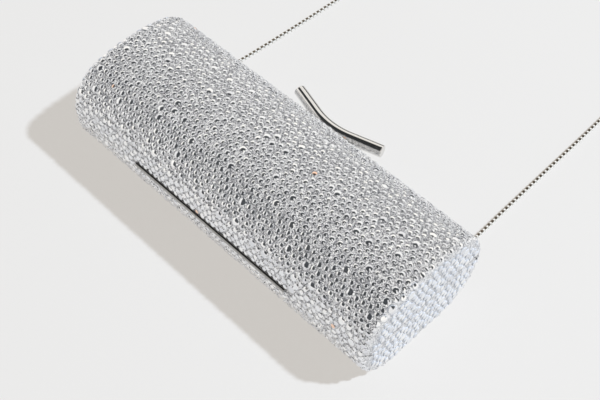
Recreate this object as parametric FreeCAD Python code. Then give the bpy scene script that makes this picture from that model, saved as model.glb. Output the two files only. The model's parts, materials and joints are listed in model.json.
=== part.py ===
import FreeCAD, Part
import math
import os
from FreeCAD import Vector

# Minaudiere: a hard evening bag in two crystal-covered halves, lying on its flat back.
# Frame: origin at the centre of the flat back face, +X along the hinge, +Y towards the clasp, +Z up.
# All sizes are in millimetres.

# Case, measured over the crystals
case_length = 200.0
case_height = 78.0
front_corner_radius = 24.5
front_crown_rise = 1.7
back_corner_radius = 22.0
back_wall_height = 5.0
end_edge_radius = 4.0

# Layers, from the outside inwards
crystal_thickness = 1.6
shell_thickness = 1.2
frame_thickness = 1.6
lining_thickness = 0.8
glue_gap = 0.05
sharp_corner_limit = 0.2

# Main stones, in relief on the crystal skins
stone_height = 0.8
stone_spacing = 8.3
stone_base_radius = 2.4
stone_table_radius = 1.5
stone_root = 0.3
stone_sides = 8
stone_margin = 4.5

# Rims that meet at the seam
seam_gap = 0.3
frame_height = 6.5
lip_height = 1.8
lip_thickness = 0.7
lip_clearance = 0.25
lip_root = 1.0

# Hinge along the -Y edge
hinge_length = 102.0
hinge_inset = 0.2
hinge_end_gap = 0.4
hinge_relief = 0.4
knuckle_count = 7
knuckle_radius = 1.0
knuckle_gap = 0.2
pin_radius = 0.5
pin_clearance = 0.04
leaf_thickness = 0.7
leaf_gap = 0.1
leaf_clearance = 0.3
leaf_flange_height = 4.8
slot_above = 1.9
slot_below = 1.3

# Rivets
rivet_radius = 0.8
rivet_head_radius = 1.4
rivet_head_height = 0.5
hinge_rivet_count = 5
hinge_rivet_spacing = 20.0
hinge_rivet_drop = 3.2

# Clasp bar
bar_diameter = 6.4
bar_span = 57.0
bar_bend_radius = 40.0
bar_leg_angle = 16.5
bar_stand_off = 4.3
bar_drop = 1.0
bar_end_round = 0.5

# Clasp lever, which turns on a pin inside the front rim
pivot_inset = 8.6
pivot_rise = 3.0
lever_lift = 10.0
lever_pin_radius = 0.8
lever_bore_clearance = 0.05
sleeve_radius = 1.6
sleeve_half_length = 4.7
arm_thickness = 0.8
arm_half_width = 3.0
arm_length = 6.0
stem_half_width = 4.0
stem_thickness = 2.4
stem_seat_depth = 1.6
stem_start = 3.2
stem_rivet_radius = 0.6
stem_rivet_place = 4.6
notch_clearance = 0.35
hook_half_width = 3.0
hook_thickness = 1.0
hook_offset = -0.6
hook_drop = 8.6
toe_length = 1.6
toe_thickness = 1.4
toe_bevel = 1.15

# Bracket, pin and return spring of the lever
bracket_thickness = 0.8
bracket_half_width = 10.4
bracket_rivet_place = 8.2
ear_gap = 0.2
ear_thickness = 0.8
ear_radius = 1.8
pin_head_radius = 1.25
pin_head_height = 0.4
spring_half_width = 1.5
spring_thickness = 0.3
spring_bend_drop = 0.8

# Catch plate on the back rim
catch_thickness = 0.7
catch_half_width = 6.0
catch_flange_half_width = 9.4
catch_rivet_place = 7.7
catch_flange_height = 3.7
catch_bar_width = 2.0
catch_engagement = 1.0
catch_gap = 0.2
window_half_width = 3.5
window_outer_rim = 1.2

# Chain, its lugs, rings and end caps
chain_end_inset = 16.0
chain_diameter = 2.0
lug_thickness = 1.0
lug_reach = 2.6
lug_drop = 2.2
lug_radius = 1.8
lug_hole_radius = 0.9
lug_slot_clearance = 0.1
lug_foot_length = 6.0
lug_foot_height = 4.4
lug_rivet_place = 3.6
ring_radius = 2.2
ring_wire_radius = 0.45
eye_radius = 1.3
eye_wire_radius = 0.4
link_play = 0.1
hang_angle = 70.0
cap_radius = 1.15
cap_length = 3.2
hang_length = 7.5
bend_share = 0.45

# Coil of the length that is put away, and its tie
coil_centre_x = -62.65
coil_stand = 153.0
coil_lead_in = 18.0
coil_lead_out = 12.0
coil_outer_radius = 16.25
coil_pitch = 2.5
coil_turns_in = 4.0
coil_turns_climb = 0.5
coil_turns_out = 3.5
coil_step = 0.25
gap_sample = 1.0
gap_skip = 14.0
tie_thickness = 0.5
tie_width = 2.6
tie_clearance = 0.3
tie_gap = 0.1
tie_corner_radius = 0.9
tie_turn = 0.75

# Worked out from the sizes above
half_length = case_length / 2
half_height = case_height / 2
seam_z = back_corner_radius + back_wall_height
front_depth = front_corner_radius + front_crown_rise
inset_shell = crystal_thickness + glue_gap
inset_frame = inset_shell + shell_thickness + glue_gap
inset_clear = inset_frame + frame_thickness
inset_fitting = inset_clear + glue_gap
back_top = seam_z - seam_gap / 2
front_bottom = seam_z + seam_gap / 2
hinge_y = hinge_inset - half_height
chain_place = half_length - chain_end_inset
chain_radius = chain_diameter / 2
coil_centre_y = half_height + coil_stand
coil_turns = coil_turns_in + coil_turns_climb + coil_turns_out
coil_low_z = tie_thickness + tie_gap + chain_radius
coil_high_z = coil_low_z + coil_pitch
reach = 2 * case_length
clasp_way = Vector(0, 1, 0)


def block(x0, x1, y0, y1, z0, z1):
    """A box between two corners."""
    return Part.makeBox(x1 - x0, y1 - y0, z1 - z0, Vector(x0, y0, z0))


def slab(z0, z1):
    """A box that spans the whole case between two heights."""
    return block(-reach, reach, -reach, reach, z0, z1)


def rod(radius, start, end):
    """A round bar between two points."""
    way = end - start
    return Part.makeCylinder(radius, way.Length, start, way)


def join(first, *others):
    """One solid from pieces that overlap."""
    shape = first
    for other in others:
        shape = shape.fuse(other)
    shape = shape.removeSplitter()
    return shape.Solids[0] if len(shape.Solids) == 1 else shape


def cut(shape, *tools):
    """A shape with tools taken out of it."""
    for tool in tools:
        shape = shape.cut(tool)
    return shape.Solids[0] if len(shape.Solids) == 1 else shape


def mirrored(shape):
    """The same piece on the -X side."""
    return shape.mirror(Vector(0, 0, 0), Vector(1, 0, 0))


def section_point(centre_y, centre_z, radius, angle):
    """A point of the case's cross-section, on an arc about a centre."""
    return Vector(0, centre_y + radius * math.cos(angle), centre_z + radius * math.sin(angle))


def section_arc(centre_y, centre_z, radius, start, end):
    """An arc of the cross-section between two angles."""
    angles = (start, (start + end) / 2, end)
    points = [section_point(centre_y, centre_z, radius, angle) for angle in angles]
    return Part.Arc(*points).toShape()


def section_wire(inset):
    """The closed cross-section, drawn in by an inset: flat back, round corners, crowned front."""
    side = half_height - inset
    front_y = half_height - front_corner_radius
    back_y = half_height - back_corner_radius
    spare = front_y ** 2 + front_depth ** 2 - front_corner_radius ** 2
    crown_radius = spare / (2 * front_crown_rise)
    crown_z = seam_z + front_depth - crown_radius
    meet = math.atan2(seam_z - crown_z, front_y)
    front_round = front_corner_radius - inset
    back_round = back_corner_radius - inset
    corner_z = back_corner_radius
    quarter = math.pi / 2
    edges = [
        Part.LineSegment(Vector(0, -back_y, inset), Vector(0, back_y, inset)).toShape(),
        section_arc(back_y, corner_z, back_round, -quarter, 0),
        Part.LineSegment(Vector(0, side, corner_z), Vector(0, side, seam_z)).toShape(),
        section_arc(front_y, seam_z, front_round, 0, meet),
        section_arc(0, crown_z, crown_radius - inset, meet, math.pi - meet),
        section_arc(-front_y, seam_z, front_round, math.pi - meet, math.pi),
        Part.LineSegment(Vector(0, -side, seam_z), Vector(0, -side, corner_z)).toShape(),
        section_arc(-back_y, corner_z, back_round, math.pi, 3 * quarter),
    ]
    return Part.Wire(edges)


def case_body(inset):
    """The whole case drawn in by an inset, with its end edges rounded as far as the inset leaves them."""
    half = half_length - inset
    face = Part.Face(section_wire(inset))
    face.translate(Vector(-half, 0, 0))
    solid = face.extrude(Vector(2 * half, 0, 0))
    edge_radius = end_edge_radius - inset
    if edge_radius > sharp_corner_limit:
        ends = [e for e in solid.Edges if e.BoundBox.XLength < glue_gap]
        solid = solid.makeFillet(edge_radius, ends)
    return solid


def layer(inset, thickness):
    """A closed skin of the case, from an inset inwards."""
    return case_body(inset).cut(case_body(inset + thickness))


def rim_patch(thickness, x0, x1, towards_clasp, z0, z1):
    """A strip of sheet that lies on the inner face of the rims, on one long side."""
    y0, y1 = (0, reach) if towards_clasp else (-reach, 0)
    return layer(inset_fitting, thickness).common(block(x0, x1, y0, y1, z0, z1)).Solids[0]


def rim_rivet(x, z, sheet, towards_clasp):
    """A rivet along Y through a rim and the sheet on its inner face, headed inside."""
    side = 1 if towards_clasp else -1
    inner = case_body(inset_fitting + sheet)
    line = Part.LineSegment(Vector(x, 0, z), Vector(x, side * reach, z)).toShape()
    seat = line.common(inner).BoundBox
    seat_y = seat.YMax if towards_clasp else seat.YMin
    head_y = seat_y - side * rivet_head_height
    lap_y = seat_y + side * sheet / 2
    shank = rod(rivet_radius, Vector(x, side * half_height, z), Vector(x, head_y, z))
    cap = rod(rivet_head_radius, Vector(x, lap_y, z), Vector(x, head_y, z))
    return join(shank, cap).common(case_body(inset_frame)).Solids[0]


# Tubes on straight runs and tangent arcs


def tube_edges(points):
    """Straight runs with an arc at each corner, as large as the shorter run there allows."""
    edges = []
    radii = []
    start = points[0]
    for before, corner, after in zip(points, points[1:], points[2:]):
        arrive = corner - before
        leave = after - corner
        setback = bend_share * min(arrive.Length, leave.Length)
        arrive.normalize()
        leave.normalize()
        half_turn = arrive.getAngle(leave) / 2
        first = corner - arrive * setback
        last = corner + leave * setback
        middle_chord = (first + last) / 2
        half_chord = (last - first).Length / 2
        middle = middle_chord + (corner - middle_chord) * (half_chord / (setback + half_chord))
        edges.append(Part.LineSegment(start, first).toShape())
        edges.append(Part.Arc(first, middle, last).toShape())
        radii.append(setback / math.tan(half_turn))
        start = last
    edges.append(Part.LineSegment(start, points[-1]).toShape())
    return edges, radii


def biarc_edges(start, start_way, end, end_way):
    """Two arcs that leave one point and reach another in given directions."""
    span = end - start
    ways = start_way + end_way
    along = span.dot(ways)
    bend = 2 * (1 - start_way.dot(end_way))
    arm = (math.sqrt(along ** 2 + bend * span.dot(span)) - along) / bend
    first_knee = start + start_way * arm
    last_knee = end - end_way * arm
    joint = (first_knee + last_knee) / 2
    edges = []
    for a, knee, b in ((start, first_knee, joint), (joint, last_knee, end)):
        middle_chord = (a + b) / 2
        half_chord = (b - a).Length / 2
        middle = middle_chord + (knee - middle_chord) * (half_chord / (arm + half_chord))
        edges.append(Part.Arc(a, middle, b).toShape())
    return edges


def tube(name, edges, radius):
    """A round tube along a path, with its volume set against its section times its length."""
    path = Part.Wire(edges)
    start = path.OrderedEdges[0]
    way = start.tangentAt(start.FirstParameter)
    ring = Part.Wire(Part.makeCircle(radius, start.valueAt(start.FirstParameter), way))
    shell = Part.BRepOffsetAPI.MakePipeShell(path)
    shell.add(ring, False, False)
    shell.build()
    shell.makeSolid()
    solid = shell.shape().Solids[0]
    share = solid.Volume / (math.pi * radius ** 2 * path.Length)
    print(f"{name}: length {path.Length:.1f} mm, volume over section times length {share:.4f}")
    return solid


# Main stones: flat-topped and many-sided, in staggered rows round the case and on its ends
# The flat back that the bag lies on has none: the stones there stand so close that it is one level face.


def stone_at(place, way):
    """One stone with its root under the skin and the middle of its table at a place."""
    rings = []
    for radius, depth in ((stone_base_radius, -stone_height - stone_root), (stone_table_radius, 0)):
        angles = [2 * math.pi * number / stone_sides for number in range(stone_sides)]
        rings.append([Vector(radius * math.cos(a), radius * math.sin(a), depth) for a in angles])
    base, table = rings
    outlines = [base, table]
    for number in range(stone_sides):
        after = (number + 1) % stone_sides
        outlines.append([base[number], base[after], table[after], table[number]])
    faces = [Part.Face(Part.makePolygon(outline + outline[:1])) for outline in outlines]
    stone = Part.Solid(Part.Shell(faces))
    stone.Placement = FreeCAD.Placement(place, FreeCAD.Rotation(Vector(0, 0, 1), way))
    return stone


def section_place(along):
    """The point a length along the cross-section from the start of the flat back, and the way out there."""
    section = section_wire(0)
    along = along % section.Length
    for edge in section.OrderedEdges:
        if along < edge.Length:
            break
        along -= edge.Length
    at = edge.getParameterByLength(along)
    way = edge.tangentAt(at)
    return edge.valueAt(at), Vector(0, way.z, -way.y)


def long_side_stones(run_start, run_length):
    """Staggered rows along X over one half's stretch of the cross-section, even about its middle."""
    row_count = 2 * round((run_length / 2 - stone_margin) / (stone_spacing * math.sqrt(3) / 2)) + 1
    row_gap = (run_length - 2 * stone_margin) / (row_count - 1)
    row_half = half_length - end_edge_radius - stone_base_radius
    per_row = 2 * int(row_half / stone_spacing) + 1
    stones = []
    for row in range(row_count):
        place, way = section_place(run_start + stone_margin + row * row_gap)
        count = per_row - row % 2
        for number in range(count):
            x = (number - (count - 1) / 2) * stone_spacing
            stones.append(stone_at(place + Vector(x, 0, 0), way))
    return stones


def end_stones():
    """Staggered rows on both flat ends, inside their rounded edges."""
    flat = Part.Face(section_wire(end_edge_radius + stone_base_radius))
    rows = int(half_height / stone_spacing)
    stones = []
    for row in range(-rows, rows + 1):
        for number in range(-rows, rows + 1):
            y = (number + row % 2 / 2) * stone_spacing
            z = seam_z + (row + 0.5) * stone_spacing
            if flat.isInside(Vector(0, y, z), glue_gap, True):
                stones += [stone_at(Vector(side * half_length, y, z), Vector(side, 0, 0)) for side in (-1, 1)]
    return stones


def set_stones(skin, stones, side, slots):
    """A skin with those stones fused on that lie on its side of the seam and clear the box of every slot."""
    kept = []
    for stone in stones:
        box = stone.BoundBox
        if side.BoundBox.isInside(box) and not any(box.intersect(slot.BoundBox) for slot in slots):
            kept.append(stone)
    print(f"main stones on this half: {len(kept)}")
    return skin.multiFuse(kept).Solids[0]


# Case halves


def make_case():
    """Crystal skins, shells, frames and linings of both halves."""
    above = slab(front_bottom, reach)
    below = slab(-reach, back_top)
    crystals = layer(stone_height, crystal_thickness - stone_height)
    shells = layer(inset_shell, shell_thickness)
    rims = layer(inset_frame, frame_thickness)
    linings = layer(inset_frame, lining_thickness)
    lip = layer(inset_clear - lip_thickness, lip_thickness)
    rebate = case_body(inset_clear - lip_thickness - lip_clearance)
    front_top = front_bottom + frame_height
    back_foot = back_top - frame_height
    hinge_half = hinge_length / 2 + hinge_end_gap
    hinge_side = -half_height + inset_clear
    leaf_depth = leaf_gap + leaf_thickness + glue_gap
    leaf_slot = block(-hinge_half, hinge_half, -reach, hinge_side, seam_z - leaf_depth, seam_z + leaf_depth)
    barrel_slot = block(-hinge_half, hinge_half, -reach, 0, seam_z - slot_below, seam_z + slot_above)
    relief = block(-reach, reach, -reach, -half_height + crystal_thickness + glue_gap,
                   seam_z - hinge_relief, seam_z + hinge_relief)
    lip_at_hinge = block(-hinge_half, hinge_half, -reach, 0, back_top, reach)
    lever = lever_sizes()
    notch_half = stem_half_width + notch_clearance
    notch = block(-notch_half, notch_half, 0, reach, seam_z - seam_gap / 2, lever["notch_top"])
    back_frame = rims.common(slab(back_foot, back_top))
    back_lip = lip.common(slab(back_top - lip_root, seam_z + lip_height))
    back_lip = back_lip.cut(lip_at_hinge).cut(notch)
    lip_room = rebate.common(slab(-reach, seam_z + lip_height + lip_clearance))
    lug_slots = [lug_slot(side) for side in (-1, 1)]
    flat_run, corner, wall, *front_edges = [edge.Length for edge in section_wire(0).OrderedEdges[:6]]
    back_run = flat_run + 2 * (corner + wall)
    front_start = flat_run + corner + wall
    stones_on_ends = end_stones()
    front_stones = long_side_stones(front_start, sum(front_edges)) + stones_on_ends
    back_stones = long_side_stones(-corner - wall, back_run) + stones_on_ends
    front_slots = (barrel_slot, relief, notch)
    back_slots = (barrel_slot, relief, *lug_slots)
    front_skin = cut(crystals.common(above), *front_slots)
    flat_end = half_length - end_edge_radius
    flat_back = block(-flat_end, flat_end, -flat_run / 2, flat_run / 2, 0, stone_height + stone_root)
    back_skin = cut(join(crystals.common(below), flat_back), *back_slots)
    return {
        "front_crystals": set_stones(front_skin, front_stones, above, front_slots),
        "front_shell": cut(shells.common(above), leaf_slot, notch),
        "front_frame": cut(rims.common(slab(front_bottom, front_top)), lip_room, leaf_slot, notch),
        "front_lining": cut(linings.common(slab(front_top + glue_gap, reach))),
        "back_crystals": set_stones(back_skin, back_stones, below, (*back_slots, flat_back)),
        "back_shell": cut(shells.common(below), leaf_slot, *lug_slots),
        "back_frame": cut(join(back_frame, back_lip), leaf_slot, *lug_slots),
        "back_lining": cut(linings.common(slab(-reach, back_foot - glue_gap))),
    }


# Hinge


def knuckle_spans(first):
    """The stretches of X that every second knuckle takes, starting with the first or the second."""
    pitch = hinge_length / knuckle_count
    spans = []
    for number in range(first, knuckle_count, 2):
        start = -hinge_length / 2 + number * pitch
        spans.append((start + knuckle_gap / 2, start + pitch - knuckle_gap / 2))
    return spans


def hinge_leaf(spans, side):
    """A leaf of sheet: rolled knuckles, a flat between the rims and a flange on the rim's inner face."""
    half = hinge_length / 2
    near = seam_z + side * leaf_gap
    flat_far = near + side * leaf_thickness
    flange_far = near + side * leaf_flange_height
    flat_low, flat_high = sorted((near, flat_far))
    flange_low, flange_high = sorted((near, flange_far))
    flat_start = hinge_y + knuckle_radius + leaf_clearance
    flat_end = -half_height + inset_fitting + leaf_thickness / 2
    leaf = join(
        rim_patch(leaf_thickness, -half, half, False, flange_low, flange_high),
        block(-half, half, flat_start, flat_end, flat_low, flat_high),
    )
    for x0, x1 in spans:
        barrel = rod(knuckle_radius, Vector(x0, hinge_y, seam_z), Vector(x1, hinge_y, seam_z))
        finger = block(x0, x1, hinge_y, flat_start + leaf_clearance, flat_low, flat_high)
        leaf = join(leaf, barrel, finger)
    bore = rod(pin_radius + pin_clearance, Vector(-reach, hinge_y, seam_z), Vector(reach, hinge_y, seam_z))
    return cut(leaf, bore)


def make_hinge():
    """Both leaves and the pin. The back leaf has the outer knuckles."""
    half = hinge_length / 2
    pin = rod(pin_radius, Vector(-half, hinge_y, seam_z), Vector(half, hinge_y, seam_z))
    return {
        "hinge_leaf_back": hinge_leaf(knuckle_spans(0), -1),
        "hinge_leaf_front": hinge_leaf(knuckle_spans(1), 1),
        "hinge_pin": pin,
    }


def hinge_rivets(side):
    """The rivets of one leaf, in a row."""
    middle = (hinge_rivet_count - 1) / 2
    places = [(number - middle) * hinge_rivet_spacing for number in range(hinge_rivet_count)]
    height = seam_z + side * hinge_rivet_drop
    return [rim_rivet(x, height, leaf_thickness, False) for x in places]


# Clasp


def lever_sizes():
    """Places that the lever, its bracket, the notch and the catch share."""
    pivot_y = half_height - pivot_inset
    pivot_z = seam_z + pivot_rise
    arm_low = pivot_z - sleeve_radius
    stem_z = arm_low + arm_thickness / 2
    stem_top = stem_z + stem_thickness / 2
    swing = pivot_inset * math.sin(math.radians(lever_lift))
    toe_top = pivot_z - hook_drop + toe_thickness
    shank_y = pivot_y + hook_offset
    return {
        "pivot_y": pivot_y,
        "pivot_z": pivot_z,
        "arm_low": arm_low,
        "stem_z": stem_z,
        "stem_top": stem_top,
        "notch_top": stem_top + swing + notch_clearance,
        "toe_top": toe_top,
        "shank_y": shank_y,
        "toe_tip": shank_y - toe_length,
        "bar_y": half_height + bar_stand_off,
    }


def bar_solid(lever):
    """A round bar in the XY plane: an arc at its middle and a straight leg each side."""
    turn = math.radians(bar_leg_angle)
    bend_x = bar_bend_radius * math.sin(turn)
    bend_y = bar_bend_radius * (1 - math.cos(turn))
    leg_x = bar_span / 2
    leg_y = bend_y + (leg_x - bend_x) * math.tan(turn)
    middle = Vector(0, lever["bar_y"], lever["stem_z"] - bar_drop)
    right_bend = middle + Vector(bend_x, bend_y, 0)
    left_bend = middle + Vector(-bend_x, bend_y, 0)
    right_end = middle + Vector(leg_x, leg_y, 0)
    left_end = middle + Vector(-leg_x, leg_y, 0)
    edges = [
        Part.LineSegment(left_end, left_bend).toShape(),
        Part.Arc(left_bend, middle, right_bend).toShape(),
        Part.LineSegment(right_bend, right_end).toShape(),
    ]
    bar = tube("clasp_bar", edges, bar_diameter / 2)
    ends = [e for e in bar.Edges if e.Closed and abs(e.CenterOfMass.x) > bend_x + bar_diameter]
    return bar.makeFillet(bar_end_round, ends)


def make_lever():
    """The lever that turns: rocker with hook, stem, its rivet and the bar."""
    lever = lever_sizes()
    pivot = Vector(0, lever["pivot_y"], lever["pivot_z"])
    sideways = Vector(sleeve_half_length, 0, 0)
    bore = rod(lever_pin_radius + lever_bore_clearance, pivot - sideways * 2, pivot + sideways * 2)
    sleeve = rod(sleeve_radius, pivot - sideways, pivot + sideways)
    arm_top = lever["arm_low"] + arm_thickness
    arm = block(-arm_half_width, arm_half_width, pivot.y, pivot.y + arm_length, lever["arm_low"], arm_top)
    toe_low = lever["toe_top"] - toe_thickness
    shank_far = lever["shank_y"] + hook_thickness
    shank = block(-hook_half_width, hook_half_width, lever["shank_y"], shank_far, toe_low, pivot.z)
    toe = block(-hook_half_width, hook_half_width, lever["toe_tip"], shank_far, toe_low, lever["toe_top"])
    tip = Vector(-hook_half_width, lever["toe_tip"], toe_low)
    bevel = [tip, tip + Vector(0, toe_bevel, 0), tip + Vector(0, 0, toe_bevel), tip]
    ramp = Part.Face(Part.makePolygon(bevel)).extrude(Vector(2 * hook_half_width, 0, 0))
    rocker = cut(join(sleeve, arm, shank, toe), bore, ramp)
    bar = bar_solid(lever)
    stem_end = lever["bar_y"] - bar_diameter / 2 + stem_seat_depth
    stem_low = lever["stem_z"] - stem_thickness / 2
    stem_top = lever["stem_top"]
    stem = block(-stem_half_width, stem_half_width, pivot.y + stem_start, stem_end, stem_low, stem_top)
    rivet_y = pivot.y + stem_rivet_place
    rivet = rod(stem_rivet_radius, Vector(0, rivet_y, stem_low), Vector(0, rivet_y, stem_top))
    return {
        "clasp_rocker": cut(rocker, rivet),
        "clasp_stem": cut(stem, rocker, rivet),
        "stem_rivet": rivet,
        "clasp_bar": cut(bar, stem),
    }


def make_bracket():
    """What carries the lever on the front rim: bracket with two ears, pin and return spring."""
    lever = lever_sizes()
    pivot = Vector(0, lever["pivot_y"], lever["pivot_z"])
    base_low = front_bottom + lip_height + lip_clearance
    base_top = front_bottom + frame_height
    base = rim_patch(bracket_thickness, -bracket_half_width, bracket_half_width, True, base_low, base_top)
    notch_half = stem_half_width + notch_clearance
    notch = block(-notch_half, notch_half, 0, reach, 0, lever["notch_top"])
    inside = case_body(inset_fitting)
    ear_start = sleeve_half_length + ear_gap
    ear_end = ear_start + ear_thickness
    ears = []
    for x0, x1 in ((-ear_end, -ear_start), (ear_start, ear_end)):
        boss = rod(ear_radius, Vector(x0, pivot.y, pivot.z), Vector(x1, pivot.y, pivot.z))
        web = block(x0, x1, pivot.y, half_height, base_low, pivot.z + ear_radius)
        ears.append(join(boss, web).common(inside))
    pin_end = ear_end + pin_head_height
    pin = join(
        rod(lever_pin_radius, pivot - Vector(pin_end, 0, 0), pivot + Vector(pin_end, 0, 0)),
        rod(pin_head_radius, pivot + Vector(ear_end, 0, 0), pivot + Vector(pin_end, 0, 0)),
        rod(pin_head_radius, pivot - Vector(pin_end, 0, 0), pivot - Vector(ear_end, 0, 0)),
    )
    bracket = cut(join(cut(base, notch), *ears), pin)
    seat = inset_fitting + bracket_thickness + glue_gap
    fixed_low = lever["notch_top"] + glue_gap
    strip = block(-spring_half_width, spring_half_width, 0, reach, fixed_low, base_top)
    fixed = layer(seat, spring_thickness).common(strip).Solids[0]
    tail_y = fixed.BoundBox.YMax - spring_thickness
    tail_low = lever["arm_low"] + arm_thickness + glue_gap
    tail_top = fixed_low + spring_bend_drop
    tail = block(-spring_half_width, spring_half_width,
                 tail_y - spring_thickness, tail_y + spring_thickness / 2, tail_low, tail_top)
    spring = join(fixed, tail.common(case_body(seat)))
    return {"lever_bracket": bracket, "lever_pin": pin, "lever_spring": spring}


def make_catch():
    """A plate on the back rim, with a window for the hook and a bar that the toe snaps under."""
    lever = lever_sizes()
    leaf_low = lever["toe_top"] + catch_gap
    leaf_top = leaf_low + catch_thickness
    bar_outer = lever["toe_tip"] + catch_engagement
    bar_inner = bar_outer - catch_bar_width
    rim_inner = half_height - inset_fitting
    flange_top = min(leaf_low + catch_flange_height, back_top - seam_gap)
    flange = rim_patch(catch_thickness, -catch_flange_half_width, catch_flange_half_width, True,
                       leaf_low, flange_top)
    leaf = block(-catch_half_width, catch_half_width, bar_inner, rim_inner - catch_thickness / 2,
                 leaf_low, leaf_top)
    window = block(-window_half_width, window_half_width, bar_outer, rim_inner - window_outer_rim,
                   leaf_low, leaf_top)
    return {"catch_plate": join(flange, cut(leaf, window))}


# Chain lugs, rings and end caps


def lug_points(side):
    """The lug's hole, the way the chain hangs, and the middles of the ring, the eye and the cap's end."""
    hang = math.radians(hang_angle)
    way = Vector(0, math.cos(hang), -math.sin(hang))
    hole = Vector(side * chain_place, half_height + lug_reach, seam_z - lug_drop)
    wire = hole + way * (lug_hole_radius - ring_wire_radius - link_play)
    ring = wire + way * ring_radius
    far_wire = ring + way * ring_radius
    eye = far_wire + way * (eye_radius - eye_wire_radius - ring_wire_radius - link_play)
    cap_end = eye + way * (eye_radius + cap_length)
    return {"hole": hole, "way": way, "ring": ring, "eye": eye, "cap_end": cap_end}


def lug_slot(side):
    """The slot that a lug takes through the back half's edge, open at the seam."""
    place = lug_points(side)
    half = lug_thickness / 2 + lug_slot_clearance
    low = place["hole"].z - lug_radius - lug_slot_clearance
    inner = half_height - inset_clear
    return block(place["hole"].x - half, place["hole"].x + half, inner - glue_gap, reach, low, reach)


def chain_lug():
    """The right-hand lug: an upright plate with a hole outside and a foot on the rim inside."""
    place = lug_points(1)
    hole = place["hole"]
    half = Vector(lug_thickness / 2, 0, 0)
    low = hole.z - lug_radius
    high = min(hole.z + lug_radius, back_top - glue_gap)
    foot_y = half_height - inset_fitting - bracket_thickness
    eye = rod(lug_radius, hole - half, hole + half)
    plate = block(hole.x - half.x, hole.x + half.x, foot_y, hole.y, low, high)
    foot = rim_patch(bracket_thickness, hole.x - lug_foot_length, hole.x + half.x, True,
                     high - lug_foot_height, high)
    bore = rod(lug_hole_radius, hole - half * 2, hole + half * 2)
    return cut(join(plate, eye, foot).common(slab(0, high)), bore)


def chain_ring():
    """The right-hand jump ring, threaded through the lug's hole along X."""
    place = lug_points(1)
    axis = Vector(1, 0, 0).cross(place["way"])
    return Part.makeTorus(ring_radius, ring_wire_radius, place["ring"], axis)


def chain_end():
    """The right-hand end cap: an eye round the jump ring and a cup that holds the chain's end."""
    place = lug_points(1)
    eye = Part.makeTorus(eye_radius, eye_wire_radius, place["eye"], Vector(1, 0, 0))
    cup = rod(cap_radius, place["eye"] + place["way"] * eye_radius, place["cap_end"])
    return join(eye, cup)


def make_chain_fittings():
    """Lugs, rings and caps of both sides. The left ones mirror the right ones."""
    pieces = {}
    for name, solid in (("chain_lug", chain_lug()), ("chain_ring", chain_ring()), ("chain_end", chain_end())):
        pieces[name + "_right"] = solid
        pieces[name + "_left"] = mirrored(solid)
    return pieces


# Carry chain: a limp cord from one end cap to the other, lying on the floor behind the clasp
# Each point is its X, its distance from the case's clasp edge and its lift off the floor, chosen by hand.

left_route = [
    (-84.2, 13.9, 2.2),
    (-84.5, 21.8, 0.0),
    (-83.3, 37.5, 0.0),
    (-81.4, 67.5, 0.0),
    (-79.4, 111.0, 0.0),
]

right_route = [
    (-76.2, 180.0, 1.2),
    (-70.5, 193.0, 0.0),
    (-58.5, 204.0, 0.0),
    (-42.0, 209.8, 0.0),
    (-22.0, 211.6, 0.0),
    (1.0, 211.9, 0.0),
    (25.0, 210.6, 0.0),
    (47.0, 203.3, 0.0),
    (65.0, 189.0, 0.0),
    (76.0, 169.0, 0.0),
    (81.2, 145.5, 0.0),
    (82.2, 111.0, 0.0),
    (82.6, 69.0, 0.0),
    (83.0, 38.0, 0.0),
    (83.5, 21.8, 0.0),
    (83.85, 13.9, 2.2),
]


def route_points(route):
    """A route's points in the row's frame, with the chain's underside on the floor."""
    return [Vector(x, half_height + away, chain_radius + lift) for x, away, lift in route]


def coil_point(turns):
    """The coil's line: spiral in on the lower layer, climb half a turn, spiral out on the upper one."""
    inner = coil_outer_radius - coil_pitch * coil_turns_in
    climb_end = coil_turns_in + coil_turns_climb
    if turns <= coil_turns_in:
        radius = coil_outer_radius - coil_pitch * turns
        height = coil_low_z
    elif turns <= climb_end:
        share = (turns - coil_turns_in) / coil_turns_climb
        radius = inner - coil_pitch * coil_turns_climb / math.pi * math.sin(math.pi * share)
        height = coil_low_z + coil_pitch * (1 - math.cos(math.pi * share)) / 2
    else:
        radius = inner + coil_pitch * (turns - climb_end)
        height = coil_high_z
    angle = math.pi - 2 * math.pi * turns
    return Vector(coil_centre_x + radius * math.cos(angle), coil_centre_y + radius * math.sin(angle), height)


def coil_edges():
    """Biarcs of a quarter turn along the coil's line, with a straight stub at each end."""
    count = round(coil_turns / coil_step)
    nudge = coil_step / 100
    points = []
    ways = []
    for number in range(count + 1):
        turns = number * coil_step
        way = coil_point(turns + nudge) - coil_point(turns - nudge)
        points.append(coil_point(turns))
        ways.append(way.normalize())
    ways[0] = clasp_way
    ways[-1] = clasp_way
    edges = [Part.LineSegment(points[0] - clasp_way * chain_diameter, points[0]).toShape()]
    for number in range(count):
        edges += biarc_edges(points[number], ways[number], points[number + 1], ways[number + 1])
    edges.append(Part.LineSegment(points[-1], points[-1] + clasp_way * chain_diameter).toShape())
    return edges


def print_least_gap(name, edges, diameter):
    """Measures a wound tube's least gap to itself, on points a set step apart along its line."""
    path = Part.Wire(edges)
    points = []
    for edge in path.OrderedEdges:
        points += edge.discretize(Number=max(3, int(edge.Length / gap_sample) + 2))[:-1]
    walked = [0.0]
    for before, after in zip(points, points[1:]):
        walked.append(walked[-1] + (after - before).Length)
    least = reach
    for i, point in enumerate(points):
        for j in range(i + 1, len(points)):
            if walked[j] - walked[i] > gap_skip:
                least = min(least, (points[j] - point).Length)
    print(f"{name}: least gap to itself {least - diameter:.2f} mm")


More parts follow.
